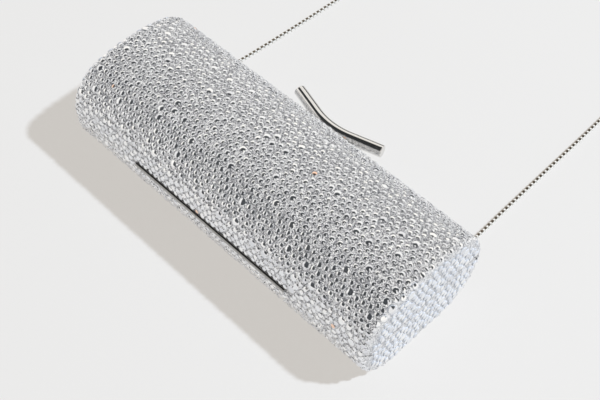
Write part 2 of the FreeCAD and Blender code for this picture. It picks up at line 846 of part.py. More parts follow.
def make_chain():
    """The two free stretches, the coil between them and the coil's tie."""
    left = lug_points(-1)
    right = lug_points(1)
    left_hang = [left["cap_end"], left["cap_end"] + left["way"] * hang_length]
    right_hang = [right["cap_end"] + right["way"] * hang_length, right["cap_end"]]
    coil_start = coil_point(0) - clasp_way * chain_diameter
    coil_end = coil_point(coil_turns) + clasp_way * chain_diameter
    lead_in = [coil_start - clasp_way * coil_lead_in, coil_start]
    lead_out = [coil_end, coil_end + clasp_way * coil_lead_out]
    left_points = left_hang + route_points(left_route) + lead_in
    right_points = lead_out + route_points(right_route) + right_hang
    pieces = {}
    for name, points in (("chain_left_run", left_points), ("chain_right_run", right_points)):
        edges, radii = tube_edges(points)
        print(name, "bend radii:", ", ".join(f"{radius:.0f}" for radius in radii))
        pieces[name] = tube(name, edges, chain_radius)
    edges = coil_edges()
    print_least_gap("chain_coil", edges, chain_diameter)
    pieces["chain_coil"] = tube("chain_coil", edges, chain_radius)
    pieces["coil_tie"] = coil_tie()
    return pieces


def coil_tie():
    """A flat band round both layers of turns, on the coil's -Y side."""
    outer_turn = coil_outer_radius - coil_pitch * tie_turn
    inner_turn = outer_turn - coil_pitch * (coil_turns_in - 1)
    play = chain_radius + tie_clearance
    y0 = coil_centre_y - outer_turn - play
    y1 = coil_centre_y - inner_turn + play
    z0 = tie_thickness
    z1 = coil_high_z + chain_radius + tie_clearance
    half = tie_width / 2
    x0 = coil_centre_x - half
    x1 = coil_centre_x + half
    wall = tie_thickness
    outer = block(x0, x1, y0 - wall, y1 + wall, z0 - wall, z1 + wall)
    inner = block(x0, x1, y0, y1, z0, z1)
    long_edges = [e for e in outer.Edges if e.BoundBox.XLength > half]
    return cut(outer.makeFillet(tie_corner_radius, long_edges), inner)


# Every piece, with the rivets set into what they hold


def make_pieces():
    """All nodes by name. What a rivet goes through is cut by the rivet itself."""
    lever = lever_sizes()
    pieces = {**make_case(), **make_hinge(), **make_lever(), **make_bracket(), **make_catch()}
    pieces.update(make_chain_fittings())
    pieces.update(make_chain())
    catch_low = lever["toe_top"] + catch_gap
    catch_rivet_z = catch_low + catch_thickness + rivet_head_radius
    bracket_rivet_z = front_bottom + lip_height + lip_clearance + (frame_height - lip_height) / 2
    lug = lug_points(1)
    lug_rivet_z = min(lug["hole"].z + lug_radius, back_top - glue_gap) - lug_foot_height / 2
    lug_rivet_x = chain_place - lug_rivet_place
    groups = {
        "hinge_rivets_back": (hinge_rivets(-1), ("hinge_leaf_back", "back_frame")),
        "hinge_rivets_front": (hinge_rivets(1), ("hinge_leaf_front", "front_frame")),
        "bracket_rivets": (
            [rim_rivet(x, bracket_rivet_z, bracket_thickness, True)
             for x in (-bracket_rivet_place, bracket_rivet_place)],
            ("lever_bracket", "front_frame"),
        ),
        "catch_rivets": (
            [rim_rivet(x, catch_rivet_z, catch_thickness, True)
             for x in (-catch_rivet_place, catch_rivet_place)],
            ("catch_plate", "back_frame"),
        ),
        "lug_rivets": (
            [rim_rivet(x, lug_rivet_z, bracket_thickness, True) for x in (-lug_rivet_x, lug_rivet_x)],
            ("chain_lug_left", "chain_lug_right", "back_frame"),
        ),
    }
    for name, (rivets, held) in groups.items():
        pieces[name] = Part.Compound(rivets)
        for node in held:
            pieces[node] = cut(pieces[node], *rivets)
    return pieces


os.makedirs("parts", exist_ok=True)
for node, shape in sorted(make_pieces().items()):
    solids = shape.Solids
    shape.exportStep(f"parts/{node}.step")
    volume = sum(solid.Volume for solid in solids)
    box = shape.BoundBox
    corners = " ".join(f"{v:.1f}" for v in (box.XMin, box.XMax, box.YMin, box.YMax, box.ZMin, box.ZMax))
    print(f"{node}: solids {len(solids)}, valid {shape.isValid()}, {volume:.0f} cubic mm, box {corners}")
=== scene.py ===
import json
import math

import bmesh
import bpy
import numpy as np
from mathutils import Matrix, Vector


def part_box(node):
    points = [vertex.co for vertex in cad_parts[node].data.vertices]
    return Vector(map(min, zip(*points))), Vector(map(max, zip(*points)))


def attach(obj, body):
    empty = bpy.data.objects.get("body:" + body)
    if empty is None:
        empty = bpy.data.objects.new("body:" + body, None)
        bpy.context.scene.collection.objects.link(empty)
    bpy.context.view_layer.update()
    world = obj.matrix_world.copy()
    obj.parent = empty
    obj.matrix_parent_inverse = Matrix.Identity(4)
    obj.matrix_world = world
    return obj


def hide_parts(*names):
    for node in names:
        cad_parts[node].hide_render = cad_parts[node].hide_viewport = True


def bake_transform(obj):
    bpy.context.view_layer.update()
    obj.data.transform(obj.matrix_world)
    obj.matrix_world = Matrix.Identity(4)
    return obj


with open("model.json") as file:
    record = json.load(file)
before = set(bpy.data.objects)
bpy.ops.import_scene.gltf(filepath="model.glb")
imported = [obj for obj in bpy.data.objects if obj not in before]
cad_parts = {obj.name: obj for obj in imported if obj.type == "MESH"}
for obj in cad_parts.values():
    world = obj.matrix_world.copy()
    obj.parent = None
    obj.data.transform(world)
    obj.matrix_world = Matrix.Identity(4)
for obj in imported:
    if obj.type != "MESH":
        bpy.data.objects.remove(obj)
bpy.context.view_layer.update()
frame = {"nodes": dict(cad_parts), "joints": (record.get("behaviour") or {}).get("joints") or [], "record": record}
nodes = frame["nodes"]
joints = {joint["name"]: joint for joint in frame["joints"]}

# Looks of a crystal-paved evening bag, in the frame of the CAD model: +X along the hinge, +Y towards the
# clasp, +Z up from the back that the bag lies on. Sizes are in metres, apart from the chain's route.

MM = 0.001
SEED = 41
WELD_DISTANCE = 0.001 * MM
GRID_DIGITS = 7

# The case, measured over the crystals
FRONT_CORNER = 24.5 * MM
BACK_CORNER = 22.0 * MM
END_EDGE = 4.0 * MM
LEAST_EDGE = 0.3 * MM
SEAM_GAP = 0.3 * MM
HINGE_RELIEF = 0.4 * MM
SLOT_HALF = 51.4 * MM
SLOT_ABOVE = 1.9 * MM
SLOT_BELOW = 1.3 * MM
NOTCH_HALF = 4.35 * MM
NOTCH_TOP = 4.85 * MM
LUG_PLACE = 84.0 * MM
LUG_SLOT_HALF = 0.6 * MM
LUG_SLOT_DEPTH = 4.1 * MM
FRAME_HEIGHT = 6.7 * MM
SKIN_DEPTH = 1.65 * MM
HALF_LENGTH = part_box("front_shell")[1].x + SKIN_DEPTH
HALF_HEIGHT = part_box("back_shell")[1].y + SKIN_DEPTH
FRONT_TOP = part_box("front_shell")[1].z + SKIN_DEPTH
SEAM_Z = joints["lid_hinge"]["pos_m"][2]
FLAT_HALF = HALF_LENGTH - END_EDGE
EDGE_WALK = FLAT_HALF + END_EDGE * math.pi / 2

# Sizes of the stones, where they stand, and how they are spread
STONE_PITCH = 3.7 * MM
STONE_JITTER = 0.55 * MM
STONE_GAP = 0.12 * MM
STONE_RADII = np.array([1.42, 1.55, 1.8, 2.35]) * MM
STONE_SHARES = [0.58, 0.28, 0.09, 0.05]
SIZE_SPREAD = 0.02
SIZE_LIMITS = (0.95, 1.05)
SPREAD_ROUNDS = 60
SPREAD_REACH = 2.4 * STONE_PITCH
LEAST_APART = 1e-6
EDGE_GAP = 0.12 * MM
SIDE_MARGIN = 2.75 * MM
END_BORDER = END_EDGE + 0.75 * MM
END_SLACK = 0.5 * MM
OUTLINE_POINTS = 400

# Discs that keep the stones off the clasp's notch and the lugs, by their distances from the seam
NOTCH_DISC = 2.0 * MM
NOTCH_DISC_SIDES = (-2.4 * MM, 2.4 * MM)
NOTCH_DISC_DEPTHS = (1.0 * MM, 3.0 * MM)
LUG_DISC = 1.0 * MM
LUG_DISC_DEPTHS = (0.6 * MM, 1.8 * MM, 3.2 * MM)
DISC_TOUCH = 0.9

# Form of a stone. Tables narrow as the facing goes from upright to level, and widen on the ends.
STONE_SIDES = 12
STONE_FOOT = 1.0 * MM
STONE_PROUD = 0.5 * MM
STONE_GIRDLE = 0.4 * MM
STONE_CROWN = 0.36
STONE_DOME = math.radians(19.0)
STONE_TILT = math.radians(2.2)
FOOT_SHARE = 0.98
STONE_TABLES = (0.78, 0.66)
TABLE_FACING = (0.35, 0.8)
END_TABLE = 0.89
END_FACING = (0.6, 0.9)
STEEP_ALONG = 0.8

# Looks of the stones and of the bed that they are set in
GRAIN_SCALE = 1900.0
# Table colours by each stone's shade: greys that differ at random, then painted colour flashes in orange, blue and
# pale cyan on a few stones
TABLE_TINTS_AND_FLASHES = [
    (0.0, (0.80, 0.81, 0.84)), (0.3, (0.90, 0.91, 0.93)), (0.7, (0.97, 0.97, 0.97)),
    (0.9940, (0.97, 0.70, 0.55)), (0.9962, (0.28, 0.35, 0.54)), (0.9982, (0.62, 0.80, 0.84)),
]
TABLE_MIRROR = 0.96
TABLE_ROUGH = 0.03
TABLE_LEAN = 0.04
CROWN_DARK = (0.82, 0.825, 0.855)
CROWN_LIGHT = (0.99, 0.995, 1.0)
CROWN_MIRROR = 0.9
CROWN_ROUGH = 0.225
CROWN_LEAN = 1.1
MILK_MIRROR = 0.15
MILK_COLOUR = (0.62, 0.63, 0.66)
BED_DARK = (0.60, 0.605, 0.635)
BED_LIGHT = (0.99, 0.995, 1.0)
BED_ROUGH = 0.27

# Form of the bed, with the counts of its grid
BED_INSET = 0.55 * MM
BED_THICKNESS = 0.9 * MM
BED_COLUMNS = 81
BED_ROWS = 90
BED_EDGE_ROWS = 9
BED_END_ROWS = 7

# Hinge: pale plating, with painted black shade above a level and out to a depth, in the slot's recess
HINGE_SHADE_FROM = SEAM_Z + 0.87 * MM
HINGE_SHADE_TO = joints["lid_hinge"]["pos_m"][1] + 1.3 * MM
HINGE_FADE = 0.1 * MM
HINGE_PALE = (0.72, 0.70, 0.67)
HINGE_PAINTED_SHADE = (0.01, 0.01, 0.01)
HINGE_MIRROR = 0.35

# Satin lining: width, length and area of each piece as cut, and its folds. Each wave of their drift has its
# size, and its turns in radians per metre along X and over the whole cross-section.
LINING_INSET = 3.45 * MM
LINING_THICKNESS = 0.35 * MM
LINING_EASE = 0.2 * MM
LINING_COLUMNS = 321
LINING_ROWS = 120
LINING_EDGE_ROWS = 5
LINING_END_ROWS = 9
FOLD_HEIGHT = 0.22 * MM
FOLD_FADE = 6.0 * MM
FOLD_TURNS = 760.0
FOLD_DRIFT = [(2.2, 71.0, 3.0), (1.3, 173.0, -2.0), (1.4, 0.0, 9.0)]
FOLD_SWELL = (0.65, 0.35, 210.0)
SATIN_DARK = (0.38, 0.37, 0.39)
SATIN_LIGHT = (0.62, 0.61, 0.63)
SATIN_LIFT = 0.03 * MM

# Clasp bar
BAR_RADIUS = 3.2 * MM
BAR_HALF_SPAN = 28.5 * MM
BAR_BEND_RADIUS = 40.0 * MM
BAR_LEG_ANGLE = math.radians(16.5)
BAR_END_ROUND = 0.5 * MM
BAR_END_RINGS = 7
BAR_FACE_RINGS = np.array([0.6, 0.25, 0.0])
BAR_RINGS = 60
BAR_SIDES = 64

# Return spring: levels where its leaf leaves the bracket and where its inner face turns, and thicknesses
SPRING_LEAVES = 31.9 * MM
SPRING_TURNS = 32.7 * MM
SPRING_STEP = 0.15 * MM
SPRING_LEAF = 0.45 * MM
SPRING_PLATE = 0.32 * MM
SPRING_ROWS = 24

# Chain: square box links on one line from the left end cap to the right one
LINK_PITCH = 1.4 * MM
LINK_LENGTH = 2.3 * MM
LINK_WIDTH = 2.0 * MM
LINK_WIRE = 0.45 * MM
LINK_BAND = 0.95 * MM
LINK_CORNER = 0.35 * MM
# Painted light and shade of the links: the lit colour, the colour of the painted shade, how metallic they are, and
# how far the painted highlight reaches and fades
LINK_PAINTED_LIGHT = (0.90, 0.89, 0.86)
LINK_PAINTED_SHADE = (0.24, 0.20, 0.155)
LINK_MIRROR = 0.6
LINK_LIGHT_REACH = 0.38
LINK_LIGHT_FADE = 0.05

# The chain's route in millimetres, the same as the CAD model's: how the end caps hang from the holes of the
# lugs, the coil, and the listed points of the free stretches
LUG_HOLE_OUT = 2.6
LUG_HOLE_BELOW = 2.2
CAP_HANG = math.radians(70.0)
CAP_REACH = 9.6
CHAIN_DROP = 7.5
COIL_CENTRE = (-62.65, 192.0)
COIL_OUTER = 16.25
COIL_PITCH = 2.5
COIL_LOW = 1.6
COIL_TURNS_IN = 4.0
COIL_TURNS_CLIMB = 0.5
COIL_TURNS_OUT = 3.5
COIL_POINTS_PER_TURN = 16
ROUTE_STEPS = 16
LEFT_ROUTE = [
    (-84.2, 52.9, 3.2), (-84.5, 60.8, 1.0), (-83.3, 76.5, 1.0), (-81.4, 106.5, 1.0), (-79.4, 150.0, 1.0),
    (-78.9, 172.0, 1.6), (-78.9, 190.0, 1.6),
]
RIGHT_ROUTE = [
    (-77.65, 194.0, 4.1), (-77.65, 206.0, 4.1), (-76.2, 219.0, 2.2), (-70.5, 232.0, 1.0), (-58.5, 243.0, 1.0),
    (-42.0, 248.8, 1.0), (-22.0, 250.6, 1.0), (1.0, 250.9, 1.0), (25.0, 249.6, 1.0), (47.0, 242.3, 1.0),
    (65.0, 228.0, 1.0), (76.0, 208.0, 1.0), (81.2, 184.5, 1.0), (82.2, 150.0, 1.0), (82.6, 108.0, 1.0),
    (83.0, 77.0, 1.0), (83.5, 60.8, 1.0), (83.85, 52.9, 3.2),
]

# Metals: colour, least and most roughness, and the fineness and lift of their polish marks
POLISHED_NICKEL = ((0.78, 0.77, 0.75), 0.04, 0.12, 500.0, 0.002 * MM)
BRIGHT_STEEL = ((0.58, 0.58, 0.58), 0.18, 0.34, 700.0, 0.006 * MM)
BLUED_SPRING = ((0.30, 0.32, 0.40), 0.20, 0.34, 900.0, 0.006 * MM)
PLAIN_SHELL = ((0.52, 0.52, 0.53), 0.32, 0.5, 300.0, 0.01 * MM)
CHAIN_SILVER = (LINK_PAINTED_LIGHT, 0.10, 0.22, 1200.0, 0.004 * MM)
POLISH_STRETCH = (1.0, 9.0, 9.0)
POLISH_LINES = 0.5
POLISH_RANGE = (0.45, 1.05)

# Plastic of the coil's tie
TIE_DARK = (0.72, 0.72, 0.711)
TIE_LIGHT = (0.80, 0.80, 0.79)
TIE_LIFT = 0.02 * MM

# Floor, with the share of its brightness that comes through the paper
FLOOR_HALF = 6.0
FLOOR_LEVEL = -0.1 * MM
FLOOR_COLOUR = (0.68, 0.68, 0.68)
FLOOR_GLOW = 0.6
GLOW_COLOUR = (0.87, 0.83, 0.78)
MATT = {"Roughness": 0.9, "Specular_IOR_Level": 0.0}

# Sky and lamp
SKY_COLOUR = (1.0, 0.975, 0.94)
SKY_LIGHT = 0.3
SKY_REFLECTED = 1.0
KEY_WAY = (0.50, 0.385, 0.775)
KEY_DISTANCE = 5.0
KEY_SIZE = 0.225
KEY_POWER = 312.0
KEY_COLOUR = (0.89, 0.98, 1.09)

# Dark screens that only show in reflections: the ceiling's rim height by azimuth from +X in degrees, and the
# wall's left and right ends, distance and height
SCREEN_COLOUR = (0.06, 0.06, 0.06)
CEILING_RADIUS = 3.0
CEILING_TOP = 82.0
CEILING_TURNS = [0.0, 30.0, 50.0, 135.0, 160.0, 186.0, 215.0, 232.0, 246.0, 300.0]
CEILING_RIMS = [20.0, 20.0, 62.0, 57.0, 48.0, 44.0, 45.0, 32.0, 8.0, 8.0]
CEILING_COLUMNS = 61
CEILING_ROWS = 9
WALL_SIDES = (-8.0, 1.0, 4.0, 1.5)

# The photograph's camera, fitted to the outline of the case
PHOTO_WIDTH = 600
SENSOR_WIDTH = 36.0
CAMERA_NEAR = 0.01
CAMERA_FOCUS = 1083.5
CAMERA_PLACE = (0.23657, -0.21135, 0.43554)
CAMERA_AZIMUTH = math.radians(45.453)
CAMERA_ELEVATION = math.radians(53.391)
CAMERA_ROLL = math.radians(-0.51)

# Sockets of a colour mix: its two colours and its result
MIX_FIRST = 6
MIX_SECOND = 7
MIX_RESULT = 2

random = np.random.default_rng(SEED)


# Meshes from arrays


def put_mesh(name, points, loops, starts, smooth):
    """A mesh object from an array of points, the corners of all faces in a row and where each face starts."""
    mesh = bpy.data.meshes.new(name)
    mesh.vertices.add(len(points))
    mesh.vertices.foreach_set("co", np.ascontiguousarray(points, dtype=np.float32).ravel())
    mesh.loops.add(len(loops))
    mesh.loops.foreach_set("vertex_index", np.asarray(loops, dtype=np.int32))
    mesh.polygons.add(len(starts))
    mesh.polygons.foreach_set("loop_start", np.asarray(starts, dtype=np.int32))
    mesh.update(calc_edges=True)
    mesh.validate()
    if smooth:
        mesh.shade_smooth()
    else:
        mesh.shade_flat()
    piece = bpy.data.objects.new(name, mesh)
    bpy.context.collection.objects.link(piece)
    return piece


def put_quads(name, points, quads, smooth=True):
    """A mesh object of four-sided faces."""
    return put_mesh(name, points, quads.ravel(), np.arange(0, quads.size, 4), smooth)


def grid_quads(rows, columns, around=False, closed=False):
    """Corners of the faces between neighbouring rows and columns. The last column is joined to the first one
    if the grid goes around, and the last row to the first one if it is closed."""
    row = np.arange(rows if closed else rows - 1)[:, None]
    column = np.arange(columns if around else columns - 1)[None, :]
    above = (row + 1) % rows
    after = (column + 1) % columns
    corners = [row * columns + column, row * columns + after,
               above * columns + after, above * columns + column]
    return np.stack(np.broadcast_arrays(*corners), axis=-1).reshape(-1, 4)


def weld(piece):
    """Joins points that lie on each other, which closes poles and seams."""
    work = bmesh.new()
    work.from_mesh(piece.data)
    bmesh.ops.remove_doubles(work, verts=work.verts, dist=WELD_DISTANCE)
    bmesh.ops.dissolve_degenerate(work, edges=work.edges, dist=WELD_DISTANCE)
    work.to_mesh(piece.data)
    work.free()


def add_values(piece, name, domain, values):
    """Gives a mesh a value for each point or face."""
    layer = piece.data.attributes.new(name, "FLOAT", domain)
    layer.data.foreach_set("value", np.asarray(values, dtype=np.float32).ravel())


def unit(vectors):
    """Each vector at a length of one."""
    return vectors / np.linalg.norm(vectors, axis=-1, keepdims=True)


def dress(piece, material, body, slot, *replaced):
    """Gives a piece its finish, the body it moves with and the CAD nodes that it stands for. The slot is not used.
    """
    piece.data.materials.clear()
    piece.data.materials.append(material)
    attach(piece, body)
    if replaced:
        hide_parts(*replaced)


# Form of the case


def outline_segments():
    """Curvature and length of each stretch of the cross-section, from the hinge-side seam over the front, and
    the length of the front."""
    depth = FRONT_TOP - SEAM_Z
    side = HALF_HEIGHT - FRONT_CORNER
    crown = (side ** 2 + depth ** 2 - FRONT_CORNER ** 2) / (2 * (depth - FRONT_CORNER))
    turn = math.atan2(crown - depth, side)
    wall = SEAM_Z - BACK_CORNER
    corner = (1 / FRONT_CORNER, FRONT_CORNER * turn)
    crown_arc = (1 / crown, crown * (math.pi - 2 * turn))
    back_corner = (1 / BACK_CORNER, BACK_CORNER * math.pi / 2)
    flat_back = (0.0, 2 * (HALF_HEIGHT - BACK_CORNER))
    front = [corner, crown_arc, corner]
    back = [(0.0, wall), back_corner, flat_back, back_corner, (0.0, wall)]
    return np.array(front + back), sum(length for _, length in front)


SEGMENTS, FRONT_WALK = outline_segments()
WHOLE_WALK = SEGMENTS[:, 1].sum()


def advance(points, headings, curvatures, distance):
    """Where a walk of that distance ends: a straight line, or an arc that turns right at a steady rate."""
    bend = np.where(curvatures > 0, curvatures, 1.0)
    turned = headings - curvatures * distance
    arc_y = (np.sin(headings) - np.sin(turned)) / bend
    arc_z = (np.cos(turned) - np.cos(headings)) / bend
    straight = curvatures == 0
    step_y = np.where(straight, np.cos(headings) * distance, arc_y)
    step_z = np.where(straight, np.sin(headings) * distance, arc_z)
    return points + np.stack([step_y, step_z], axis=-1), turned


def segment_starts():
    """Point, heading and walked distance at the start of each stretch."""
    point = np.array([-HALF_HEIGHT, SEAM_Z])
    heading = math.pi / 2
    starts = []
    walked = 0.0
    for curvature, length in SEGMENTS:
        starts.append((point[0], point[1], heading, walked))
        point, heading = advance(point, np.float64(heading), np.float64(curvature), length)
        walked += length
    return np.array(starts)


STARTS = segment_starts()


def case_outline(walk):
    """Points (y, z) of the cross-section and its outward normals, for distances walked along it."""
    number = np.clip(np.searchsorted(STARTS[:, 3], walk, side="right") - 1, 0, len(STARTS) - 1)
    start = STARTS[number]
    points, headings = advance(start[:, :2], start[:, 2], SEGMENTS[number, 0], walk - start[:, 3])
    normals = np.stack([-np.sin(headings), np.cos(headings)], axis=-1)
    return points, normals


def case_skin(along, walk, inset):
    """Points and normals of the case drawn in by an inset. The distance along X turns a quarter circle at
    each end edge, where the cross-section shrinks by the edge radius times one minus the turn's cosine."""
    points, normals = case_outline(walk)
    side = np.sign(along)
    turn = np.clip((np.abs(along) - FLAT_HALF) / END_EDGE, 0, math.pi / 2)
    radius = np.maximum(END_EDGE - inset, LEAST_EDGE)
    shrink = END_EDGE - radius * np.cos(turn)
    x = side * (np.minimum(np.abs(along), FLAT_HALF) + radius * np.sin(turn))
    section = points - shrink[..., None] * normals
    place = np.column_stack([x, section])
    way = np.column_stack([side * np.sin(turn), normals * np.cos(turn)[..., None]])
    return place, way


def put_half(name, walk, points, quads, inset, seam, end_rows, thickness, inwards=False):
    """A walled piece of one half: faces over its long side, and at each end a flat that runs straight from
    the drawn-in outline to the seam. The wall grows behind the faces, which look outwards or inwards."""
    parts = [points]
    faces = [quads]
    for side in (-1, 1):
        border, _ = case_skin(np.full(len(walk), side * EDGE_WALK), walk, inset)
        flat = np.repeat(border[None], end_rows, axis=0)
        flat[..., 2] += np.linspace(0, 1, end_rows)[:, None] * (seam - border[:, 2])
        cap = grid_quads(end_rows, len(walk)) + sum(len(part) for part in parts)
        parts.append(flat.reshape(-1, 3))
        faces.append(cap[:, ::-1] if side > 0 else cap)
    faces = np.vstack(faces)
    piece = put_quads(name, np.vstack(parts), faces[:, ::-1] if inwards else faces)
    weld(piece)
    wall = piece.modifiers.new("wall", "SOLIDIFY")
    wall.thickness = thickness
    wall.offset = -1.0
    return piece


# Shared effects, as shader node groups


def give(node, **settings):
    """Sets some of a node's settings and, by socket name with _ for a space, some of its values."""
    for name, value in settings.items():
        if hasattr(node, name):
            setattr(node, name, value)
        else:
            node.inputs[name.replace("_", " ")].default_value = value


def add(tree, kind, **settings):
    """A shader node of a kind, with some of its settings and values."""
    node = tree.nodes.new("ShaderNode" + kind)
    give(node, **settings)
    return node


def wire(tree, *wires):
    """Links nodes. Each wire is a node, its output, the next node and its input."""
    for source, output, target, entry in wires:
        tree.links.new(source.outputs[output], target.inputs[entry])


def add_range(tree, source, output, first, last, start=0.0, stop=1.0):
    """A value that goes from a first one to a last one while a given value goes from start to stop."""
    node = add(tree, "MapRange", From_Min=start, From_Max=stop, To_Min=first, To_Max=last)
    wire(tree, (source, output, node, "Value"))
    return node


def add_ramp(tree, source, output, first, last, start=0.0, stop=1.0):
    """A colour that goes from a first one to a last one while a given value goes from start to stop."""
    node = add(tree, "ValToRGB")
    for number, position, colour in ((0, start, first), (1, stop, last)):
        node.color_ramp.elements[number].position = position
        node.color_ramp.elements[number].color = (*colour, 1.0)
    wire(tree, (source, output, node, "Fac"))
    return node


def new_group(name, inputs, outputs):
    """An empty node group with named sockets of given kinds: its tree, and its input and output nodes."""
    tree = bpy.data.node_groups.new(name, "ShaderNodeTree")
    for direction, sockets in (("INPUT", inputs), ("OUTPUT", outputs)):
        for label, kind in sockets.items():
            tree.interface.new_socket(label, in_out=direction, socket_type="NodeSocket" + kind)
    return tree, tree.nodes.new("NodeGroupInput"), tree.nodes.new("NodeGroupOutput")


def make_polish_group():
    """Hand polish: cloudy and finely lined marks that change the gloss and barely lift the surface."""
    tree, given, made = new_group(
        "hand_polish",
        {"Vector": "Vector", "Scale": "Float", "Low": "Float", "High": "Float"},
        {"Roughness": "Float", "Height": "Float"},
    )
    cloud = add(tree, "TexNoise", Detail=3.0, Roughness=0.6)
    stretch = add(tree, "Mapping", Scale=POLISH_STRETCH)
    lines = add(tree, "TexNoise", Detail=2.0, Roughness=0.5)
    blend = add(tree, "Math", operation="MULTIPLY_ADD")
    blend.inputs[1].default_value = POLISH_LINES
    spread = add_range(tree, blend, "Value", 0.0, 1.0, *POLISH_RANGE)
    wire(tree, (given, "Vector", cloud, "Vector"), (given, "Scale", cloud, "Scale"),
         (given, "Vector", stretch, "Vector"), (stretch, "Vector", lines, "Vector"),
         (given, "Scale", lines, "Scale"), (lines, "Fac", blend, 0), (cloud, "Fac", blend, 2),
         (given, "Low", spread, "To Min"), (given, "High", spread, "To Max"),
         (spread, "Result", made, "Roughness"), (lines, "Fac", made, "Height"))
    return tree


def make_grain_group():
    """Broken-up facets: cells that each have a shade of their own and lean their own way."""
    tree, given, made = new_group(
        "facet_grains", {"Vector": "Vector", "Lean": "Float"}, {"Shade": "Float", "Normal": "Vector"})
    cells = add(tree, "TexVoronoi", Scale=GRAIN_SCALE)
    parts = add(tree, "SeparateColor")
    centred = add(tree, "VectorMath", operation="SUBTRACT")
    centred.inputs[1].default_value = (0.5, 0.5, 0.5)
    tilt = add(tree, "VectorMath", operation="SCALE")
    facing = add(tree, "NewGeometry")
    turned = add(tree, "VectorMath", operation="ADD")
    level = add(tree, "VectorMath", operation="NORMALIZE")
    wire(tree, (given, "Vector", cells, "Vector"), (cells, "Color", parts, "Color"),
         (parts, "Red", made, "Shade"), (cells, "Color", centred, 0), (centred, "Vector", tilt, 0),
         (given, "Lean", tilt, "Scale"), (facing, "Normal", turned, 0), (tilt, "Vector", turned, 1),
         (turned, "Vector", level, 0), (level, "Vector", made, "Normal"))
    return tree


POLISH = make_polish_group()
GRAINS = make_grain_group()


# Finishes


def new_material(name, **values):
    """A material with a plain shader and some of its values: its tree, the shader and the coordinates."""
    material = bpy.data.materials.new(name)
    material.use_nodes = True
    tree = material.node_tree
    shader = tree.nodes["Principled BSDF"]
    give(shader, **values)
    return material, tree, shader, add(tree, "TexCoord")


def add_bump(tree, source, output, shader, distance):
    """Lifts a surface by a height."""
    bump = add(tree, "Bump", Strength=1.0, Distance=distance)
    wire(tree, (source, output, bump, "Height"), (bump, "Normal", shader, "Normal"))


def polished_metal(name, colour, low, high, scale, lift):
    """Plated or bright metal with hand polish."""
    material, tree, shader, place = new_material(name, Base_Color=(*colour, 1.0), Metallic=1.0)
    marks = add(tree, "Group", node_tree=POLISH, Scale=scale, Low=low, High=high)
    wire(tree, (place, "Object", marks, "Vector"), (marks, "Roughness", shader, "Roughness"))
    add_bump(tree, marks, "Height", shader, lift)
    return material


def chain_silver():
    """Silver links with painted light and shade: a painted highlight on part of each link, and painted shade in
    its hollows and on its far side, by how far a place is from the highlight.
    """
    material = polished_metal("chain_silver", *CHAIN_SILVER)
    tree = material.node_tree
    shader = tree.nodes["Principled BSDF"]
    give(shader, Metallic=LINK_MIRROR)
    from_painted_light = add(tree, "Attribute", attribute_name="from_painted_light")
    either_way = add(tree, "Math", operation="ABSOLUTE")
    light_and_shade = add_ramp(tree, either_way, "Value", LINK_PAINTED_LIGHT, LINK_PAINTED_SHADE,
                    LINK_LIGHT_REACH - LINK_LIGHT_FADE, LINK_LIGHT_REACH + LINK_LIGHT_FADE)
    wire(tree, (from_painted_light, "Fac", either_way, 0), (light_and_shade, "Color", shader, "Base Color"))
    return material


def add_grains(tree, place, dark, light):
    """Facet grains in a material: the grains' node, and a colour between two for each grain."""
    grains = add(tree, "Group", node_tree=GRAINS)
    wire(tree, (place, "Object", grains, "Vector"))
    return grains, add_ramp(tree, grains, "Shade", dark, light)


def foil_backed_crystal():
    """Clear stones on bright foil. The table is a clean mirror, and the crown is broken up into grains that
    each have their own shade and way. A few stones carry painted colour flashes, and crowns on the ends are milky."""
    material, tree, shader, place = new_material("foil_backed_crystal")
    shade = add(tree, "Attribute", attribute_name="stone_shade")
    crown = add(tree, "Attribute", attribute_name="crown")
    milk = add(tree, "Attribute", attribute_name="milk")
    table = add(tree, "ValToRGB")
    tints_and_flashes = table.color_ramp
    tints_and_flashes.interpolation = "CONSTANT"
    tints_and_flashes.elements.remove(tints_and_flashes.elements[1])
    tints_and_flashes.elements[0].color = (*TABLE_TINTS_AND_FLASHES[0][1], 1.0)
    for position, colour in TABLE_TINTS_AND_FLASHES[1:]:
        tints_and_flashes.elements.new(position).color = (*colour, 1.0)
    grains, grey = add_grains(tree, place, CROWN_DARK, CROWN_LIGHT)
    mixed = add(tree, "Mix", data_type="RGBA")
    clouded = add(tree, "Mix", data_type="RGBA")
    clouded.inputs[MIX_SECOND].default_value = (*MILK_COLOUR, 1.0)
    rough = add_range(tree, crown, "Fac", TABLE_ROUGH, CROWN_ROUGH)
    lean = add_range(tree, crown, "Fac", TABLE_LEAN, CROWN_LEAN)
    bright = add_range(tree, crown, "Fac", TABLE_MIRROR, CROWN_MIRROR)
    clear = add_range(tree, milk, "Fac", 1.0, MILK_MIRROR)
    mirror = add(tree, "Math", operation="MULTIPLY")
    wire(tree, (shade, "Fac", table, "Fac"), (crown, "Fac", mixed, "Factor"),
         (table, "Color", mixed, MIX_FIRST), (grey, "Color", mixed, MIX_SECOND),
         (milk, "Fac", clouded, "Factor"), (mixed, MIX_RESULT, clouded, MIX_FIRST),
         (clouded, MIX_RESULT, shader, "Base Color"), (rough, "Result", shader, "Roughness"),
         (bright, "Result", mirror, 0), (clear, "Result", mirror, 1), (mirror, "Value", shader, "Metallic"),
         (lean, "Result", grains, "Lean"), (grains, "Normal", shader, "Normal"))
    return material


def silver_bed():
    """The bright mastic between the stones, full of fine silver grains."""
    material, tree, shader, place = new_material("silver_bed", Metallic=CROWN_MIRROR, Roughness=BED_ROUGH)
    grains, grey = add_grains(tree, place, BED_DARK, BED_LIGHT)
    give(grains, Lean=CROWN_LEAN)
    wire(tree, (grey, "Color", shader, "Base Color"), (grains, "Normal", shader, "Normal"))
    return material


